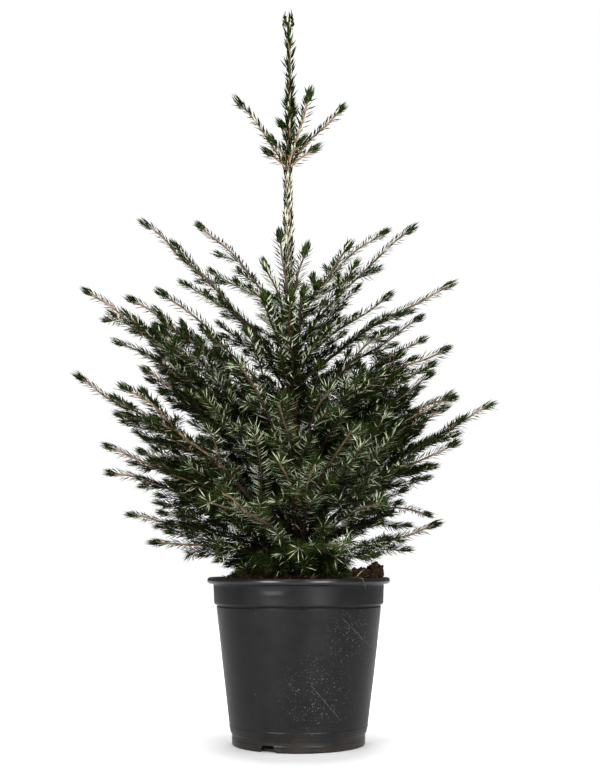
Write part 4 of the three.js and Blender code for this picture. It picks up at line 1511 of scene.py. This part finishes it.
# The shares of the tones are for middle and fresh green, grey and silver
TUFTS = {
    "tight": {
        "depth": 11.0, "lean": (8, 52), "cup": 0.74, "length": (14.5, 18.0), "stout": 1.7,
        "tones": (0.35, 0.5, 0.1, 0.05),
    },
    "open": {
        "depth": 7.0, "lean": (14, 84), "cup": 0.0, "length": (14.0, 19.0), "stout": 0.85,
        "tones": (0.22, 0.46, 0.16, 0.16),
    },
    "shaded": {
        "depth": 7.0, "lean": (14, 80), "cup": 0.0, "length": (14.0, 18.0), "stout": 0.9,
        "tones": (0.62, 0.28, 0.07, 0.03),
    },
    "leader": {
        "depth": 11.0, "lean": (42, 80), "cup": 0.88, "length": (22.0, 26.0), "stout": 2.2,
        "tones": (0.5, 0.3, 0.0, 0.2),
    },
}


def tuft_needles(shoot, rule, count, chance):
    """A bundle of fresh needles that point ahead from a shoot's tip."""
    along = shoot.reach - BUD - chance.uniform(0, rule["depth"], count)
    spin = chance.uniform(0, 2 * np.pi, count)
    share = chance.uniform(0, 1, count)
    lean = np.radians(mix(*rule["lean"], share))
    length = chance.uniform(*rule["length"], count) * (1 + LONGER_OUTSIDE * share**2)
    length *= TUFT_SIZE[shoot.order]
    # Tuft needles out of the light get painted shade: the deep green.
    lit = chance.random(count) < light_share(shoot.line(along)[0])
    tones = np.where(lit, chance.choice([MIDDLE, FRESH, GREY, SILVER], count, p=rule["tones"]), DEEP)
    return needle_rows(along, spin, lean, length, shoot, tones, tones, chance, rule["stout"], rule["cup"])


# %% Needles along a shoot
BOUGH_THINNED = 0.72
LENGTH = {"side": 18.5, "top": 0.34, "below": 0.15, "vary": 0.1}
LEAN = {"side": 60.0, "top": -28.0, "below": -8.0, "tip": 27.0, "tip_reach": 32.0, "vary": 5.0}
TURN_VARY = 0.2
# Needles lower on the shoot than the parting turn to its sides, apart from a few
PARTING = {"from": -0.3, "kept": 0.12, "drop": (0.1, 0.7)}
LEVEL = 0.35


def parted_turns(count, chance):
    """Turns about the shoot, by the golden angle, with those below it moved to its sides."""
    spin = np.radians(GOLDEN_ANGLE) * np.arange(count) + chance.normal(0, TURN_VARY, count)
    drop = chance.uniform(*PARTING["drop"], count)
    parted = np.where(np.cos(spin) > 0, -drop, np.pi + drop)
    moved = (np.sin(spin) < PARTING["from"]) & (chance.random(count) > PARTING["kept"])
    return np.where(moved, parted, spin)


def shoot_needles(shoot, chance):
    """A spiral of needles along a shoot, parted below, and a tuft at its tip."""
    wood = shoot.reach - BUD
    ahead = shoot.line(np.array([wood]))[1][0]
    kind = zone(shoot)
    tuft = TUFTS[kind.star if ahead[1] < -FACES_FRONT else "tight"]
    per_mm = kind.per_mm * (BOUGH_THINNED if shoot.order == 1 else 1)
    count = max(2, int((wood - shoot.bare) * per_mm))
    along = shoot.bare + (np.arange(count) + chance.uniform(0, 1, count)) * (wood - shoot.bare) / count
    spin = parted_turns(count, chance)
    above, below = np.maximum(np.sin(spin), 0), np.maximum(-np.sin(spin), 0)
    from_tip = smooth_step(shoot.reach - along, 0, LEAN["tip_reach"])
    spread = LEAN["side"] + LEAN["top"] * above + LEAN["below"] * below
    lean = mix(np.minimum(spread, LEAN["tip"]), spread, from_tip) + chance.normal(0, LEAN["vary"], count)
    length = LENGTH["side"] * kind.length * (1 - LENGTH["top"] * above - LENGTH["below"] * below)
    length *= 1 + chance.normal(0, LENGTH["vary"], count)
    upper, lower = spray_tones(shoot.line(along)[0], above < LEVEL, kind, chance)
    spiral = needle_rows(along, spin, np.radians(lean), length, shoot, upper, lower, chance, kind.stout)
    return gathered([spiral, tuft_needles(shoot, tuft, TUFT_COUNT[shoot.order], chance)])


# %% Needles of every shoot
def leader_needles(chance):
    """The leading shoot's needles, crowded and close to the stem, with a bare neck under the tip."""
    count = int(leader.reach * LEADER["per_mm"])
    along = np.sort(chance.uniform(0, leader.reach - LEADER["neck"], count))
    spin = np.radians(GOLDEN_ANGLE) * np.arange(count) + chance.normal(0, LEADER["turn_vary"], count)
    lean = np.radians(mix(*LEADER["lean"], chance.uniform(0, 1, count) ** LEADER["mostly_close"]))
    length = chance.uniform(*LEADER["needle"], count)
    tones = chance.choice([DEEP, MIDDLE, FRESH, SILVER], size=count, p=LEADER["tones"])
    rows = needle_rows(along, spin, lean, length, leader, tones, tones, chance, ZONES["whorl"].stout)
    return gathered([rows, tuft_needles(leader, TUFTS["leader"], LEADER["tuft"], chance)])


chance = np.random.default_rng(SEED_FIRST)
by_group = {"whorl": [leader_needles(chance)]}
for shoot in shoots:
    needles = shoot_needles(shoot, chance)
    by_group.setdefault(shoot.group, []).append(needles.picked(in_open_air(needles.tips())))
print(sum(len(n.foot) for rows in by_group.values() for n in rows), "needles in", len(by_group), "groups")

# %% [markdown]
# The young stem under the top whorl still has its own needles. They are short, lie close along it and point
# up, and the pale bark shows between them. The old needles that fell lie on the soil.

# %% Needles along the young stem and on the soil
YOUNG_STEM = {
    "low": 560.0, "high": 782.0, "per_mm": 1.2, "lean": (5, 30), "length": (8.0, 13.0), "stout": 1.8,
    "foot_depth": 0.95, "tones": (0.56, 0.24, 0.05, 0.15),
}
FALLEN = {"count": 90, "reach": 1.04, "lift": (0.5, 1.6), "rise": (-0.1, 0.25), "length": (0.5, 0.9)}


def stem_line(heights):
    ones = np.ones((len(heights), 1))
    return trunk_point(heights), ones * UP, ones * [1.0, 0, 0], ones * [0, 1.0, 0]


def stem_needles(chance):
    count = int((YOUNG_STEM["high"] - YOUNG_STEM["low"]) * YOUNG_STEM["per_mm"])
    along = np.sort(chance.uniform(YOUNG_STEM["low"], YOUNG_STEM["high"], count))
    spin = np.radians(GOLDEN_ANGLE) * np.arange(count)
    lean = np.radians(chance.uniform(*YOUNG_STEM["lean"], count))
    length = chance.uniform(*YOUNG_STEM["length"], count)
    thick = float(trunk_radius(YOUNG_STEM["low"])), float(trunk_radius(YOUNG_STEM["high"]))
    stem = Shoot(stem_line, YOUNG_STEM["high"], 0.0, thick, 1, "whorl")
    tones = chance.choice([DEEP, MIDDLE, FRESH, SILVER], size=count, p=YOUNG_STEM["tones"])
    rows = needle_rows(along, spin, lean, length, stem, tones, tones, chance, YOUNG_STEM["stout"])
    outer = unit(rows.foot - trunk_point(along))
    rows.foot = trunk_point(along) + outer * (trunk_radius(along) * YOUNG_STEM["foot_depth"])[:, None]
    return rows


def fallen_needles(chance):
    count = FALLEN["count"]
    spots = spots_on_soil(count, chance, FALLEN["reach"]) + UP * chance.uniform(*FALLEN["lift"], (count, 1))
    course = unit(outward(chance.uniform(0, 360, count)) + UP * chance.uniform(*FALLEN["rise"], (count, 1)))
    facing = unit(UP - course * course[:, 2:])
    length = LENGTH["side"] * chance.uniform(*FALLEN["length"], count)
    tones = chance.choice([DEEP, MIDDLE, FRESH], count), chance.choice([SILVER, GREY], count)
    width = np.full(count, BLADE["width"])
    return Needles(spots, course, facing, 0 * spots, length, width, *tones)


by_group["whorl"].append(stem_needles(chance))

# %% Make the needle pieces
FOLIAGE = {f"foliage_{row[0]}": group_of(row[0]) for row in BRANCHES}
FOLIAGE["leader_shoot"] = "whorl"


def needle_piece(name, needles, nodes=()):
    points, faces, tones = needle_mesh(needles)
    piece = new_object(name, points, faces, NEEDLE_MATERIALS, tones, smooth=False)
    add_to_plant(piece, "needles", *nodes)


for group, rows in sorted(by_group.items()):
    nodes = [node for node, own_group in FOLIAGE.items() if own_group == group]
    needle_piece(f"needles_{group}", gathered(rows), nodes)
needle_piece("needles_fallen", fallen_needles(chance))
